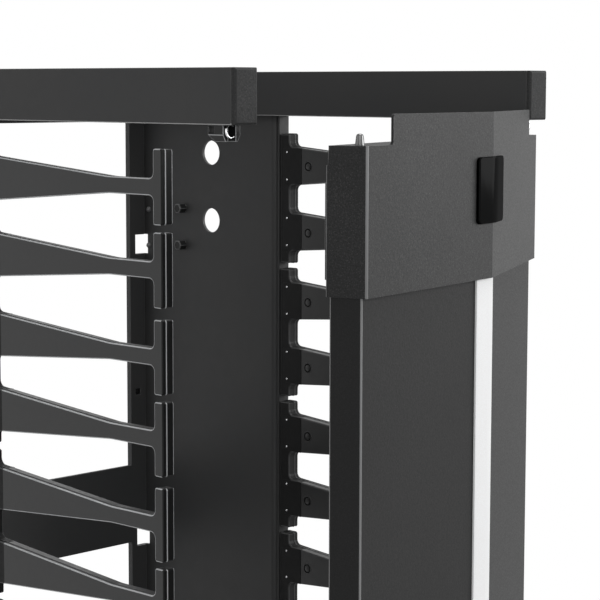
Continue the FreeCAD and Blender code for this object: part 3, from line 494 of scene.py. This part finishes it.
def tube_along(mesh, points, radius, sides=8):
    """A round wire along a line of points, closed at both ends."""
    rings = []
    for i, point in enumerate(points):
        heading = (points[min(i + 1, len(points) - 1)] - points[max(i - 1, 0)]).normalized()
        across = heading.orthogonal().normalized() if not rings else (across - heading * across.dot(heading))
        across = across.normalized()
        other = heading.cross(across)
        rings.append([mesh.verts.new(point + radius * (across * math.cos(2 * math.pi * k / sides)
                                                       + other * math.sin(2 * math.pi * k / sides)))
                      for k in range(sides)])
    for ring, following in zip(rings, rings[1:]):
        for k in range(sides):
            beside = (k + 1) % sides
            mesh.faces.new((ring[k], ring[beside], following[beside], following[k]))
    mesh.faces.new(rings[0][::-1])
    mesh.faces.new(rings[-1])


# Cable finger modules, one mesh repeated down each stack

HEAD_ROUND = 1.3 * MM
THROAT_ROUND = 3.2 * MM
ROOT_ROUND = 3.6 * MM
BASE_ROUND = 1.5 * MM
NECK_ROUND = 40 * MM
OUTLINE_STEP = math.radians(18)
HEAD_FRONT = 1.0 * MM
OUTER_EDGE = 0.6 * MM
INNER_EDGE = 0.85 * MM
RIM_WIDTH = 0.75 * MM
WALL_INSET = 0.3 * MM
WALL_SLANT = 0.1 * MM
RIDGE_PLACE = 2.85 * MM
RIDGE_WIDTH = 0.4 * MM
ROOT_REACH = 10.9 * MM
MARK_REACH = 16.8 * MM
PAD_PROUD = 0.3 * MM
PAD_SINK = 0.6 * MM
PAD_MARGIN = 1.2 * MM
PAD_BACK = 3.0 * MM
PAD_ROUND = 0.25 * MM
PIP_PLACE = 6.8 * MM
PIP_SPREAD = 9.0 * MM
PIP_RADIUS = 0.8 * MM
PIP_HEIGHT = 0.68 * MM
PIP_SINK = 0.1 * MM
MOULD_FACE, MOULD_RIM_HIGHLIGHT, MOULD_DULL_AND_SHADE, MOULD_INNER_RIM_HIGHLIGHT = range(4)
MODULE_FINISH = ("finger_plastic", "finger_rim_highlight", "finger_dull_and_shade", "finger_inner_rim_highlight")


def finger_middle(foot, sign):
    """The height of a module's upper (1) or lower (-1) finger."""
    return foot + MODULE_HEIGHT / 2 + sign * FINGER_PITCH / 2


def module_outline(tip, flange, foot):
    """Rounded outline of one module in (y, z), with its two fingers pointing towards -Y."""
    base_front = flange - BASE_DEPTH
    neck_front = tip + HEAD_DEPTH
    neck_rear = neck_front + NECK_LENGTH
    corners = [(flange, foot, BASE_ROUND), (flange, foot + MODULE_HEIGHT, BASE_ROUND),
               (base_front, foot + MODULE_HEIGHT, BASE_ROUND)]
    for sign in (1, -1):
        middle = finger_middle(foot, sign)
        upper = [(base_front, ROOT_HEIGHT / 2, ROOT_ROUND), (neck_rear, NECK_HEIGHT / 2, NECK_ROUND),
                 (neck_front, NECK_HEIGHT / 2, THROAT_ROUND), (neck_front, HEAD_HEIGHT / 2, HEAD_ROUND),
                 (tip, HEAD_HEIGHT / 2, HEAD_ROUND)]
        corners += [(y, middle + half, radius) for y, half, radius in upper]
        corners += [(y, middle - half, radius) for y, half, radius in reversed(upper)]
    corners.append((base_front, foot, BASE_ROUND))
    return rounded_outline(corners, OUTLINE_STEP)


def module_skin(thickness):
    """A module's side walls from its outer face inwards: (depth, inset) of each ring, and each band's finish.
    The walls are set in between a rim, a moulded ridge and the inner rim, whose finishes are painted
    highlights."""
    quarter = [math.radians(turn) for turn in (0, 30, 60, 90)]
    ridge_end = RIDGE_PLACE + RIDGE_WIDTH
    rings = [(OUTER_EDGE * (1 - math.cos(turn)), OUTER_EDGE * (1 - math.sin(turn))) for turn in quarter]
    rings += [(RIM_WIDTH, 0.0), (RIM_WIDTH + WALL_SLANT, WALL_INSET), (RIDGE_PLACE - WALL_SLANT, WALL_INSET),
              (RIDGE_PLACE, 0.0), (ridge_end, 0.0), (ridge_end + WALL_SLANT, WALL_INSET)]
    inner_start = thickness - INNER_EDGE
    rings += [(inner_start + INNER_EDGE * math.sin(turn), WALL_INSET + INNER_EDGE * (1 - math.cos(turn)))
              for turn in quarter]
    # Painted highlight: the rim and ridge bands take lighter finishes than the wall.
    bands = [MOULD_RIM_HIGHLIGHT] * 5 + [MOULD_FACE] + [MOULD_RIM_HIGHLIGHT] * 3 + [MOULD_FACE] + [MOULD_INNER_RIM_HIGHLIGHT] * 3
    return rings, bands


def module_mesh(tip, flange, foot, inner, outer):
    """One module: rims and ridge round its outline with painted highlights, a darker, duller root, ejector
    marks and root pads; the head fronts take the darker finish as painted shade.
    """
    mesh = bmesh.new()
    points = module_outline(tip, flange, foot)
    step = math.copysign(1.0, inner - outer)
    skin, bands = module_skin(abs(inner - outer))
    rings = []
    for depth, inset in skin:
        x = outer + step * depth
        rings.append([mesh.verts.new((x, point.x, point.y)) for point in inset_outline(points, inset)])
    loft(mesh, rings, bands)
    root_line = flange - BASE_DEPTH - ROOT_REACH
    cut(mesh, (0, root_line, 0), (0, 1, 0))
    for face in mesh.faces:
        centre = face.calc_center_median()
        depth = abs(centre.x - outer)
        on_front = centre.y < tip + HEAD_FRONT
        # Painted shade: the head fronts take the darker, duller finish.
        if on_front and (face.material_index == MOULD_FACE or depth < RIM_WIDTH):
            face.material_index = MOULD_DULL_AND_SHADE
        # Darker, duller plastic behind the root line.
        if face.material_index == MOULD_FACE and centre.y > root_line:
            face.material_index = MOULD_DULL_AND_SHADE
        # Painted highlights: the bright finish stays on the outer rim and on the head fronts; the roots and
        # the ridge elsewhere take the milder one.
        if face.material_index == MOULD_INNER_RIM_HIGHLIGHT and on_front:
            face.material_index = MOULD_RIM_HIGHLIGHT
        if face.material_index == MOULD_RIM_HIGHLIGHT and (centre.y > root_line or
                                                 depth > RIM_WIDTH and centre.y > tip + HEAD_FRONT):
            face.material_index = MOULD_INNER_RIM_HIGHLIGHT
    for sign in (1, -1):
        middle = finger_middle(foot, sign)
        known = set(mesh.faces)
        pad = sorted((inner - step * PAD_SINK, inner + step * PAD_PROUD))
        block(mesh, (pad[0], root_line, middle - ROOT_HEIGHT / 2 + PAD_MARGIN),
              (pad[1], flange - PAD_BACK, middle + ROOT_HEIGHT / 2 - PAD_MARGIN), PAD_ROUND)
        for face in mesh.faces:
            if face not in known:
                face.material_index = MOULD_DULL_AND_SHADE
        ring_mark(mesh, Vector((inner, flange - BASE_DEPTH - MARK_REACH, middle)), step)
    return mesh


def ring_mark(mesh, place, step):
    """A shallow round mark left by an ejector pin: a groove round a low disc."""
    groove = ((-0.1, 3.6), (0.10, 3.4), (0.10, 3.1), (0.0, 2.9), (0.0, 2.2))
    disc = ((0.16, 1.8), (0.20, 0.0))
    profile = [(along * MM, radius * MM) for along, radius in groove + disc]
    lathe(mesh, profile, lambda x, y, along: place + Vector((step * along, x, y)), sides=24)


def pip_mesh(flange, foot, inner, step):
    """Four bright pin heads on a module's root pads."""
    mesh = bmesh.new()
    base = inner + step * (PAD_PROUD - PIP_SINK)
    profile = [(0.0, PIP_RADIUS), (0.35 * MM, PIP_RADIUS * 0.9), (0.6 * MM, PIP_RADIUS * 0.5),
               (PIP_HEIGHT, 0.0)]
    for sign in (1, -1):
        for rise in (PIP_SPREAD, -PIP_SPREAD):
            place = Vector((base, flange - PIP_PLACE, finger_middle(foot, sign) + rise))
            lathe(mesh, profile, lambda x, y, along: place + Vector((step * along, x, y)), sides=12)
    bmesh.ops.holes_fill(mesh, edges=[edge for edge in mesh.edges if edge.is_boundary], sides=12)
    bmesh.ops.recalc_face_normals(mesh, faces=mesh.faces)
    return mesh


def repeat_down(piece, count):
    """One module becomes a stack of them."""
    row = piece.modifiers.new("modules", "ARRAY")
    row.count = count
    row.use_relative_offset = False
    row.use_constant_offset = True
    row.constant_offset_displace = (0.0, 0.0, -MODULE_PITCH)
    piece.modifiers.move(len(piece.modifiers) - 1, 0)


LIP_STEP = 5.5 * MM
LIP_THICKNESS = 1.6 * MM
LIP_WIDTH = 9.1 * MM
LIP_ROUND = 0.3 * MM
LIP_OVERLAP = 0.1 * MM
SPACER_WIDTH = 4.5 * MM


def channel_lip(side):
    """The folded lip in front of a channel's flange, which carries the finger modules."""
    low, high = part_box("side_channel_" + side)
    flange = low.y
    outer, inwards = (low.x, 1) if side == "left" else (high.x, -1)
    mesh = bmesh.new()
    for width, front, back in ((LIP_WIDTH, flange - LIP_STEP, flange - LIP_STEP + LIP_THICKNESS),
                               (SPACER_WIDTH, flange - LIP_STEP + LIP_THICKNESS, flange + LIP_OVERLAP)):
        across = sorted((outer + inwards * LIP_OVERLAP, outer + inwards * width))
        block(mesh, (across[0], front, low.z), (across[1], back, high.z), LIP_ROUND)
    # Painted shade: the lip is drawn darker than the channel paint it is folded from.
    return new_piece("channel_lip_" + side, mesh, "frame", "channel_paint", finish=("lip_shade_paint",))


for side in ("left", "right"):
    channel_lip(side)
    for number in (1, 2, 3):
        node = "fingers_%s_%d" % (side, number)
        low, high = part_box(node)
        inner, outer = (high.x, low.x) if side == "left" else (low.x, high.x)
        count = round((high.z - low.z - MODULE_HEIGHT) / MODULE_PITCH) + 1
        foot = high.z - MODULE_HEIGHT
        rear = high.y - LIP_STEP
        mesh = module_mesh(low.y, rear, foot, inner, outer)
        moulding = new_piece(node + "_moulding", mesh, "frame", "finger_plastic", node, finish=MODULE_FINISH)
        repeat_down(moulding, count)
        pips = pip_mesh(rear, foot, inner, math.copysign(1.0, inner - outer))
        repeat_down(new_piece(node + "_pips", pips, "frame", "bright_steel"), count)


# The door's place: points given shut, from the hinge, swing open with it

SWING = Matrix.Translation(HINGE) @ Matrix.Rotation(OPEN_ANGLE, 4, "Z")


def on_door(run, proud, z):
    """A point on the door's face, run across from its middle and proud of the folded face."""
    ease = 5 * MM
    reach = abs(run) if abs(run) > ease else run * run / (2 * ease) + ease / 2
    front = -DOOR_FRONT_REACH - CREASE_SLOPE * (DOOR_HALF_WIDTH - reach) - proud
    return SWING @ Vector((run - HINGE.x, front, z))


def badge():
    """A bare gloss plate with rounded corners and a soft rim, bent over the door's crease."""
    half_width, high = BADGE_WIDTH / 2, CAP_TOP_Z - BADGE_DROP
    low = high - BADGE_HEIGHT
    rim = rounded_outline([(-half_width, low, BADGE_CORNER), (half_width, low, BADGE_CORNER),
                           (half_width, high, BADGE_CORNER), (-half_width, high, BADGE_CORNER)])
    mesh = bmesh.new()
    mesh.faces.new([mesh.verts.new((point.x, 0.0, point.y)) for point in rim])
    for run in range(-6, 7):
        cut(mesh, (run * MM, 0, 0), (1, 0, 0))
    front = bmesh.ops.extrude_face_region(mesh, geom=mesh.faces[:])
    for vert in [item for item in front["geom"] if isinstance(item, bmesh.types.BMVert)]:
        vert.co.y = -BADGE_THICKNESS
    mesh.normal_update()
    rim_edges = [edge for edge in mesh.edges
                 if all(v.co.y < -0.95 * BADGE_THICKNESS for v in edge.verts)
                 and edge.calc_face_angle(0) > 1.0]
    round_edges(mesh, rim_edges, BADGE_RIM, 3)
    for vert in mesh.verts:
        vert.co = on_door(vert.co.x, -vert.co.y, vert.co.z)
    bmesh.ops.recalc_face_normals(mesh, faces=mesh.faces)
    return new_piece("badge_bare", mesh, "door", "badge_gloss", "badge_plate")


badge()


CREASE_ROUND = 8 * MM
FOLD_ROUND = 1.0 * MM
CREST_CORNER_ROUND = 1.5 * MM
TALL_EDGE_ROUND = 0.5 * MM
SHEET_EDGE_ROUND = 0.3 * MM
SHEET_THINNEST = 0.9 * MM
SHEET_THICKEST = 2.2 * MM
SAME_HEIGHT = 0.01 * MM
NEAR_HEIGHT = 0.05 * MM
LONG_FOLD = 40 * MM
TALL_EDGE = 8 * MM
LARGE_FACE = 200 * MM * MM


def folded_sheet(node, finish):
    """A CAD sheet redrawn with round folds, a soft crease and eased cut corners. The folds and edges have the
    second finish, a painted highlight that draws them lighter."""
    low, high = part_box(node)
    crest_end = high.z if node.endswith("top") else low.z
    crest_foot = CAP_TOP_Z if node.endswith("top") else low.z + (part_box("door_cap_top")[1].z - CAP_TOP_Z)
    mesh = bmesh.new()
    mesh.from_mesh(nodes[node].data)
    bmesh.ops.remove_doubles(mesh, verts=mesh.verts, dist=WELD_DISTANCE)
    bmesh.ops.dissolve_limit(mesh, angle_limit=FLAT_ANGLE, verts=mesh.verts, edges=mesh.edges)
    mesh.normal_update()
    for face in mesh.faces:
        face.smooth = False

    def chosen(rule):
        picked = []
        for edge in mesh.edges:
            if len(edge.link_faces) == 2:
                run = edge.verts[1].co - edge.verts[0].co
                upright = abs(run.z) > 0.99 * run.length
                if rule(run.length, upright, math.degrees(edge.calc_face_angle(0)), edge):
                    picked.append(edge)
        return picked

    creases = chosen(lambda length, upright, angle, edge: upright and 5 < angle < 30)
    round_edges(mesh, creases, CREASE_ROUND, 10)
    mesh.normal_update()
    if node != "door_skin":
        across_sheet = chosen(lambda length, upright, angle, edge:
                              SHEET_THINNEST < length < SHEET_THICKEST and 60 < angle < 120
                              and abs(edge.verts[0].co.z - edge.verts[1].co.z) < SAME_HEIGHT
                              and min(abs(edge.verts[0].co.z - level) for level in (crest_end, crest_foot))
                              < NEAR_HEIGHT)
        round_each(mesh, across_sheet, CREST_CORNER_ROUND, 4)
    folds = chosen(lambda length, upright, angle, edge:
                   upright and length > LONG_FOLD and 60 < angle < 110 and edge.is_convex
                   and min(face.calc_area() for face in edge.link_faces) > LARGE_FACE)
    # Painted highlight: the folds and edges take the lighter second finish.
    round_edges(mesh, folds, FOLD_ROUND, 4, band=1)
    mesh.normal_update()
    tall = chosen(lambda length, upright, angle, edge: upright and length > TALL_EDGE and angle > 50)
    round_each(mesh, tall, TALL_EDGE_ROUND, 2, band=1)
    rest = chosen(lambda length, upright, angle, edge: angle > 50)
    round_edges(mesh, rest, SHEET_EDGE_ROUND, 2, band=1)
    return new_piece(node + "_folded", mesh, "door", "door_paint", node, finish=finish, all_smooth=False)


for level in ("top", "bottom"):
    folded_sheet("door_cap_" + level, ("cap_paint", "cap_edge_highlight"))
folded_sheet("door_skin", ("door_paint", "door_edge_highlight"))


# Door pins and springs

PIN_CHAMFER = 0.4 * MM
PIN_TIP_LENGTH = 5.7 * MM
WIRE_RADIUS = 0.42 * MM
SPRING_TURNS = 7
POINTS_PER_TURN = 20


def corner_axis(corner):
    """The upright line through a corner's pin: its x and y."""
    low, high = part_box("door_pin_" + corner)
    return (low.x + high.x) / 2, (low.y + high.y) / 2


def door_pin(corner):
    """A turned steel pin with a tapered, domed tip and a chamfered tail."""
    low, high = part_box("door_pin_" + corner)
    x, y = corner_axis(corner)
    up = corner.startswith("top")
    tail, tip = (low.z, high.z) if up else (high.z, low.z)
    way = 1 if up else -1
    radius = (high.x - low.x) / 2
    length = abs(tip - tail)
    profile = [(0.0, 0.0), (0.0, radius - PIN_CHAMFER), (PIN_CHAMFER, radius),
               (length - PIN_TIP_LENGTH, radius), (length - 5.4 * MM, radius - 0.02 * MM),
               (length - 1.1 * MM, 1.8 * MM),
               (length - 0.5 * MM, 1.55 * MM), (length - 0.12 * MM, 0.9 * MM), (length, 0.0)]
    mesh = bmesh.new()
    lathe(mesh, profile, lambda px, py, along: (x + px, y + way * py, tail + way * along))
    bmesh.ops.recalc_face_normals(mesh, faces=mesh.faces)
    return new_piece("door_pin_%s_turned" % corner, mesh, "pin_" + corner, "bright_steel",
                     "door_pin_" + corner, finish=("pin_steel_reflection",))


def door_spring(corner):
    """A coil of round wire with closed ends."""
    low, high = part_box("pin_spring_" + corner)
    x, y = corner_axis(corner)
    middle_radius = (high.x - low.x) / 2 - WIRE_RADIUS
    count = SPRING_TURNS * POINTS_PER_TURN
    points = []
    for k in range(count + 1):
        turn = 2 * math.pi * k / POINTS_PER_TURN
        rise = WIRE_RADIUS + (high.z - low.z - 2 * WIRE_RADIUS) * k / count
        points.append(Vector((x + middle_radius * math.cos(turn), y + middle_radius * math.sin(turn),
                              low.z + rise)))
    mesh = bmesh.new()
    tube_along(mesh, points, WIRE_RADIUS)
    bmesh.ops.recalc_face_normals(mesh, faces=mesh.faces)
    coil = new_piece("pin_spring_%s_coil" % corner, mesh, "door", "spring_steel", "pin_spring_" + corner)
    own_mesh(coil)


for corner in CORNERS:
    door_pin(corner)
    door_spring(corner)


# Latch sockets under and over the bars, each with a bright clip across its mouth

SOCKET_FRONT = 2.5 * MM
SOCKET_SLOT = 2.8 * MM
SOCKET_TAPER = 1.8 * MM
SOCKET_ROUND = 0.28 * MM
SOCKET_SHOULDER = 0.6
SLOT_REACH = 3.1 * MM
BACK_TAPER = 1.9
WINDOW_REACH = 5.0 * MM
WINDOW_LEAST_AREA = 8 * MM * MM
WINDOW_FRAME = 0.6 * MM
WINDOW_WALL = 0.05 * MM
WINDOW_DEPTH = 1.4 * MM
CLIP_RADIUS = 4.2 * MM
CLIP_THICKNESS = 1.1 * MM
CLIP_SHIFT = 1.4 * MM
CLIP_DEPTH = 1.3 * MM
CLIP_SCALE = 0.92
CLIP_HALF_GAP = 55
CLIP_STEP = 10


def latch_socket(corner):
    """A moulded block that tapers away from its bar, slotted from the front for the pin."""
    low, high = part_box("latch_socket_" + corner)
    middle, half = (low.x + high.x) / 2, (high.x - low.x) / 2
    front, back = HINGE.y - SOCKET_FRONT, high.y
    seat, free = (high.z, low.z) if corner.startswith("top") else (low.z, high.z)
    slot_end = HINGE.y + SLOT_REACH
    window_front = back - WINDOW_REACH

    def ring(mesh, shrink, z):
        side, rear = half - shrink, back - BACK_TAPER * shrink
        plan = ((side, rear), (side, front), (SOCKET_SLOT, front), (SOCKET_SLOT, slot_end),
                (-SOCKET_SLOT, slot_end), (-SOCKET_SLOT, front), (-side, front), (-side, rear))
        return [mesh.verts.new((middle + x, y, z)) for x, y in plan]

    mesh = bmesh.new()
    shoulder = seat + SOCKET_SHOULDER * (free - seat)
    loft(mesh, [ring(mesh, 0.0, seat), ring(mesh, 0.0, shoulder), ring(mesh, SOCKET_TAPER, free)], (0, 0))
    mesh.normal_update()
    sharp = [edge for edge in mesh.edges if edge.calc_face_angle(0) > math.radians(25)]
    outward = -1 if middle < 0 else 1
    # Painted highlight: the rounded edges take the lighter second finish.
    round_edges(mesh, sharp, SOCKET_ROUND, 2, band=1)
    mesh.normal_update()
    cut(mesh, (0, window_front, 0), (0, 1, 0))
    mesh.normal_update()
    window = [face for face in mesh.faces
              if face.normal.x * outward > 0.99 and face.calc_area() > WINDOW_LEAST_AREA
              and face.calc_center_median().y > window_front]
    bmesh.ops.inset_individual(mesh, faces=window, thickness=WINDOW_FRAME)
    bmesh.ops.inset_individual(mesh, faces=window, thickness=WINDOW_WALL, depth=-WINDOW_DEPTH)
    return new_piece("latch_socket_%s_moulded" % corner, mesh, "frame", "socket_plastic",
                     "latch_socket_" + corner, finish=("socket_plastic", "socket_edge_highlight"))


def latch_clip(corner):
    """A spring strip bent to a C, open towards the channel's middle."""
    low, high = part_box("latch_clip_" + corner)
    middle, level = (low.x + high.x) / 2, (low.z + high.z) / 2
    inwards = 1 if middle < 0 else -1
    back = HINGE.y - SOCKET_FRONT
    mesh = bmesh.new()
    rings = []
    for turn in range(CLIP_HALF_GAP, 361 - CLIP_HALF_GAP, CLIP_STEP):
        way = Vector((inwards * math.cos(math.radians(turn)), 0, math.sin(math.radians(turn))))
        rings.append([mesh.verts.new(Vector((middle - inwards * CLIP_SHIFT, y, level))
                                     + way * reach * CLIP_SCALE)
                      for reach, y in ((CLIP_RADIUS, back), (CLIP_RADIUS, back - CLIP_DEPTH),
                                       (CLIP_RADIUS - CLIP_THICKNESS, back - CLIP_DEPTH),
                                       (CLIP_RADIUS - CLIP_THICKNESS, back))])
    loft(mesh, rings, [0] * (len(rings) - 1))
    return new_piece("latch_clip_%s_bent" % corner, mesh, "frame", "bright_steel", "latch_clip_" + corner)


for corner in CORNERS:
    latch_socket(corner)
    latch_clip(corner)


# Panel bolts: button heads with a round socket, one for each solid of the CAD node

CAD_BOLT_HEAD = 2.4 * MM
THREAD_RADIUS = 2.05 * MM
BUTTON_RADIUS = 3.6 * MM


def islands(node):
    """The box of each separate solid in a CAD node."""
    mesh = bmesh.new()
    mesh.from_mesh(nodes[node].data)
    bmesh.ops.remove_doubles(mesh, verts=mesh.verts, dist=WELD_DISTANCE)
    left, boxes = set(mesh.verts), []
    while left:
        reached, edge_of = set(), [left.pop()]
        while edge_of:
            vert = edge_of.pop()
            reached.add(vert)
            for edge in vert.link_edges:
                other = edge.other_vert(vert)
                if other in left:
                    left.remove(other)
                    edge_of.append(other)
        boxes.append([Vector(map(pick, zip(*(v.co for v in reached)))) for pick in (min, max)])
    mesh.free()
    return boxes


def button_bolt(mesh, seat, out, head_radius, head_height, grip, neck):
    """A button-head bolt: seat is where the head meets the sheet and out is the head's way."""
    turn = Vector((0, 0, 1)).rotation_difference(out).to_matrix()

    def place(x, y, along):
        return seat + turn @ Vector((x, y, along))

    socket = head_radius * 0.48
    profile = [(-grip, 0.0), (-grip, neck * 0.8), (-grip + 0.3 * MM, neck), (0.0, neck), (0.0, head_radius),
               (0.35 * head_height, head_radius), (0.7 * head_height, head_radius * 0.9),
               (0.93 * head_height, head_radius * 0.7), (head_height, head_radius * 0.56),
               (head_height, socket * 1.08), (0.92 * head_height, socket),
               (0.35 * head_height, socket * 0.98), (0.3 * head_height, 0.0)]
    lathe(mesh, profile, place, sides=24)


mesh = bmesh.new()
for low, high in islands("panel_bolts"):
    out = Vector((0, 1, 0))
    span = high.y - low.y
    button_bolt(mesh, (low + high) / 2 + out * (span / 2 - CAD_BOLT_HEAD), out, BUTTON_RADIUS,
                CAD_BOLT_HEAD, span - CAD_BOLT_HEAD, THREAD_RADIUS)
bmesh.ops.recalc_face_normals(mesh, faces=mesh.faces)
new_piece("panel_bolts_button", mesh, "frame", "black_steel", "panel_bolts")


# Bay bolts: tall six-sided heads inside the channel, with a small domed rivet beside each

HEX_RADIUS = 3.6 * MM
HEX_HEIGHT = 6.2 * MM
HEX_CHAMFER = 0.5 * MM
HEX_ROUND = 0.22 * MM
RIVET_RADIUS = 2.0 * MM
RIVET_Y = 166.7 * MM
RIVET_DROP = 2.4 * MM
RIVET_SINK = 0.5 * MM


def bay_bolt(mesh, low, high):
    """A hexagon head with a point towards the front, and its shank through the web."""
    inwards = -1.0 if low.x > 0 else 1.0
    back, face = (high.x, low.x) if low.x > 0 else (low.x, high.x)
    web = face - inwards * CAD_BOLT_HEAD
    middle = (low + high) / 2
    shank = abs(web - back)
    profile = [(-shank, 0.0), (-shank, THREAD_RADIUS), (0.0, THREAD_RADIUS), (0.0, HEX_RADIUS),
               (HEX_HEIGHT - HEX_CHAMFER, HEX_RADIUS), (HEX_HEIGHT, HEX_RADIUS - HEX_CHAMFER),
               (HEX_HEIGHT, 0.0)]
    lathe(mesh, profile, lambda x, y, along: (web + inwards * along, middle.y - x, middle.z + y), sides=6)
    dome = [(0.0, RIVET_RADIUS), (0.8 * MM, RIVET_RADIUS * 0.95), (1.5 * MM, RIVET_RADIUS * 0.68),
            (1.9 * MM, RIVET_RADIUS * 0.3), (RIVET_RADIUS, 0.0)]
    lathe(mesh, [(-RIVET_SINK, 0.0), (-RIVET_SINK, RIVET_RADIUS)] + dome,
          lambda x, y, along: (web + inwards * along, RIVET_Y + x, middle.z - RIVET_DROP + y), sides=20)


mesh = bmesh.new()
for low, high in islands("bay_bolts"):
    bay_bolt(mesh, low, high)
bmesh.ops.recalc_face_normals(mesh, faces=mesh.faces)
mesh.normal_update()
corners_of_heads = [edge for edge in mesh.edges if edge.calc_face_angle(0) > math.radians(40)]
# Painted glints: the heads' rounded corners take the lighter second finish, and the rivet domes take it
# whole.
round_edges(mesh, corners_of_heads, HEX_ROUND, 2, band=1)
for face in mesh.faces:
    if face.calc_center_median().y > RIVET_Y - 1.2 * RIVET_RADIUS:
        face.material_index = 1
new_piece("bay_bolts_hexagon", mesh, "frame", "black_steel", "bay_bolts", finish=("bolt_steel", "steel_glint_and_rivet"))


# The CAD nodes that stay: their own finish and softly rounded edges

EDGE_WIDTHS = {
    "frame_paint": 0.5 * MM, "channel_paint": 0.35 * MM, "accent_paint": 0.2 * MM,
    "end_cap_plastic": 0.35 * MM, "socket_plastic": 0.35 * MM, "knob_plastic": 0.5 * MM,
    "bright_steel": 0.12 * MM, "guide_paint": 0.25 * MM,
}
for row in frame["record"]["subparts"]:
    name, slot = row["node"], row["material_slot"]
    nodes[name].data.materials.clear()
    nodes[name].data.materials.append(finishes[slot])
    # The edge finish paints highlights, or shade on the end caps, on the rounded edges.
    if slot in EDGE_LIGHT_AND_SHADE_FINISHES:
        nodes[name].data.materials.append(finishes[EDGE_LIGHT_AND_SHADE_FINISHES[slot]])
    if not nodes[name].hide_render:
        soften_node(name, EDGE_WIDTHS[slot])


# Studio: a pale floor that fades to white, a soft world and five soft lamps

WORLD_LIGHT = 0.28
FLOOR_RADIUS = 3.0
FLOOR_DROP = 0.5 * MM
FLOOR_GREY = 0.84
FADE_START = 0.7
FADE_END = 2.4
TARGET = (0.0, -0.05, 1.7)


def when_seen(tree):
    """1 for a ray that comes from the camera, a reflection or glass, else 0."""
    path = tree.nodes.new("ShaderNodeLightPath")
    total = path.outputs["Is Camera Ray"]
    for ray in ("Is Glossy Ray", "Is Transmission Ray"):
        either = tree.nodes.new("ShaderNodeMath")
        either.operation = "MAXIMUM"
        tree.links.new(total, either.inputs[0])
        tree.links.new(path.outputs[ray], either.inputs[1])
        total = either.outputs[0]
    return total


world = bpy.data.worlds.new("studio")
bpy.context.scene.world = world
world.use_nodes = True
sky = world.node_tree
strength = sky.nodes.new("ShaderNodeMapRange")
strength.inputs["To Min"].default_value = WORLD_LIGHT
strength.inputs["To Max"].default_value = 1.0
sky.links.new(when_seen(sky), strength.inputs["Value"])
sky.links.new(strength.outputs["Result"], sky.nodes["Background"].inputs["Strength"])
sky.nodes["Background"].inputs["Color"].default_value = (1.0, 1.0, 1.0, 1.0)


def floor():
    """A pale disc under the object that fades to the white of the background."""
    mesh = bmesh.new()
    bmesh.ops.create_circle(mesh, cap_ends=True, segments=96, radius=FLOOR_RADIUS)
    data = bpy.data.meshes.new("floor")
    mesh.to_mesh(data)
    mesh.free()
    disc = bpy.data.objects.new("floor", data)
    disc.location.z = -FLOOR_DROP
    bpy.context.scene.collection.objects.link(disc)
    finish = Finish("floor_paper", Roughness=0.9, Specular_IOR_Level=0.1)
    finish.shader.inputs["Base Color"].default_value = (FLOOR_GREY, FLOOR_GREY, FLOOR_GREY, 1.0)
    distance = finish.nodes.new("ShaderNodeVectorMath")
    distance.operation = "LENGTH"
    finish.links.new(finish.space, distance.inputs[0])
    fade = finish.remap(distance.outputs["Value"], FADE_START, FADE_END, 0.0, 1.0)
    white = finish.nodes.new("ShaderNodeEmission")
    finish.links.new(when_seen(finish.material.node_tree), white.inputs["Strength"])
    mix = finish.nodes.new("ShaderNodeMixShader")
    finish.links.new(fade, mix.inputs[0])
    finish.links.new(finish.shader.outputs[0], mix.inputs[1])
    finish.links.new(white.outputs[0], mix.inputs[2])
    finish.links.new(mix.outputs[0], finish.nodes["Material Output"].inputs["Surface"])
    data.materials.append(finish.material)


floor()


def soft_lamp(name, place, size, watts):
    """A round soft lamp turned towards the object's upper half."""
    data = bpy.data.lights.new(name, "AREA")
    data.shape = "DISK"
    data.size = size
    data.energy = watts
    lamp = bpy.data.objects.new(name, data)
    lamp.location = place
    lamp.rotation_mode = "QUATERNION"
    lamp.rotation_quaternion = (Vector(TARGET) - Vector(place)).to_track_quat("-Z", "Y")
    bpy.context.scene.collection.objects.link(lamp)


soft_lamp("key_front", (2.6, -3.0, 3.0), 2.0, 96)
soft_lamp("key_right", (3.9, -1.2, 2.8), 2.0, 38)
soft_lamp("fill_left", (-3.0, 0.6, 2.6), 2.5, 11)
soft_lamp("fill_front_left", (-2.4, -2.6, 2.4), 2.5, 44)
soft_lamp("top", (0.3, -0.4, 4.6), 2.0, 63)


# Camera

data = bpy.data.cameras.new("camera")
data.sensor_width = SENSOR_WIDTH
data.lens = FOCAL_PIXELS * SENSOR_WIDTH / IMAGE_PIXELS
data.clip_start, data.clip_end = 0.05, 50.0
camera = bpy.data.objects.new("camera", data)
forward = Vector((math.cos(CAMERA_TILT) * math.cos(CAMERA_HEADING),
                  math.cos(CAMERA_TILT) * math.sin(CAMERA_HEADING), math.sin(CAMERA_TILT)))
level_right = Vector((math.sin(CAMERA_HEADING), -math.cos(CAMERA_HEADING), 0.0))
level_up = level_right.cross(forward)
right = level_right * math.cos(CAMERA_ROLL) + level_up * math.sin(CAMERA_ROLL)
up = level_up * math.cos(CAMERA_ROLL) - level_right * math.sin(CAMERA_ROLL)
camera.matrix_world = Matrix.Translation(CAMERA_PLACE) @ Matrix((right, up, -forward)).transposed().to_4x4()
bpy.context.scene.collection.objects.link(camera)
bpy.context.scene.camera = camera
bpy.context.scene.view_settings.view_transform = "Standard"
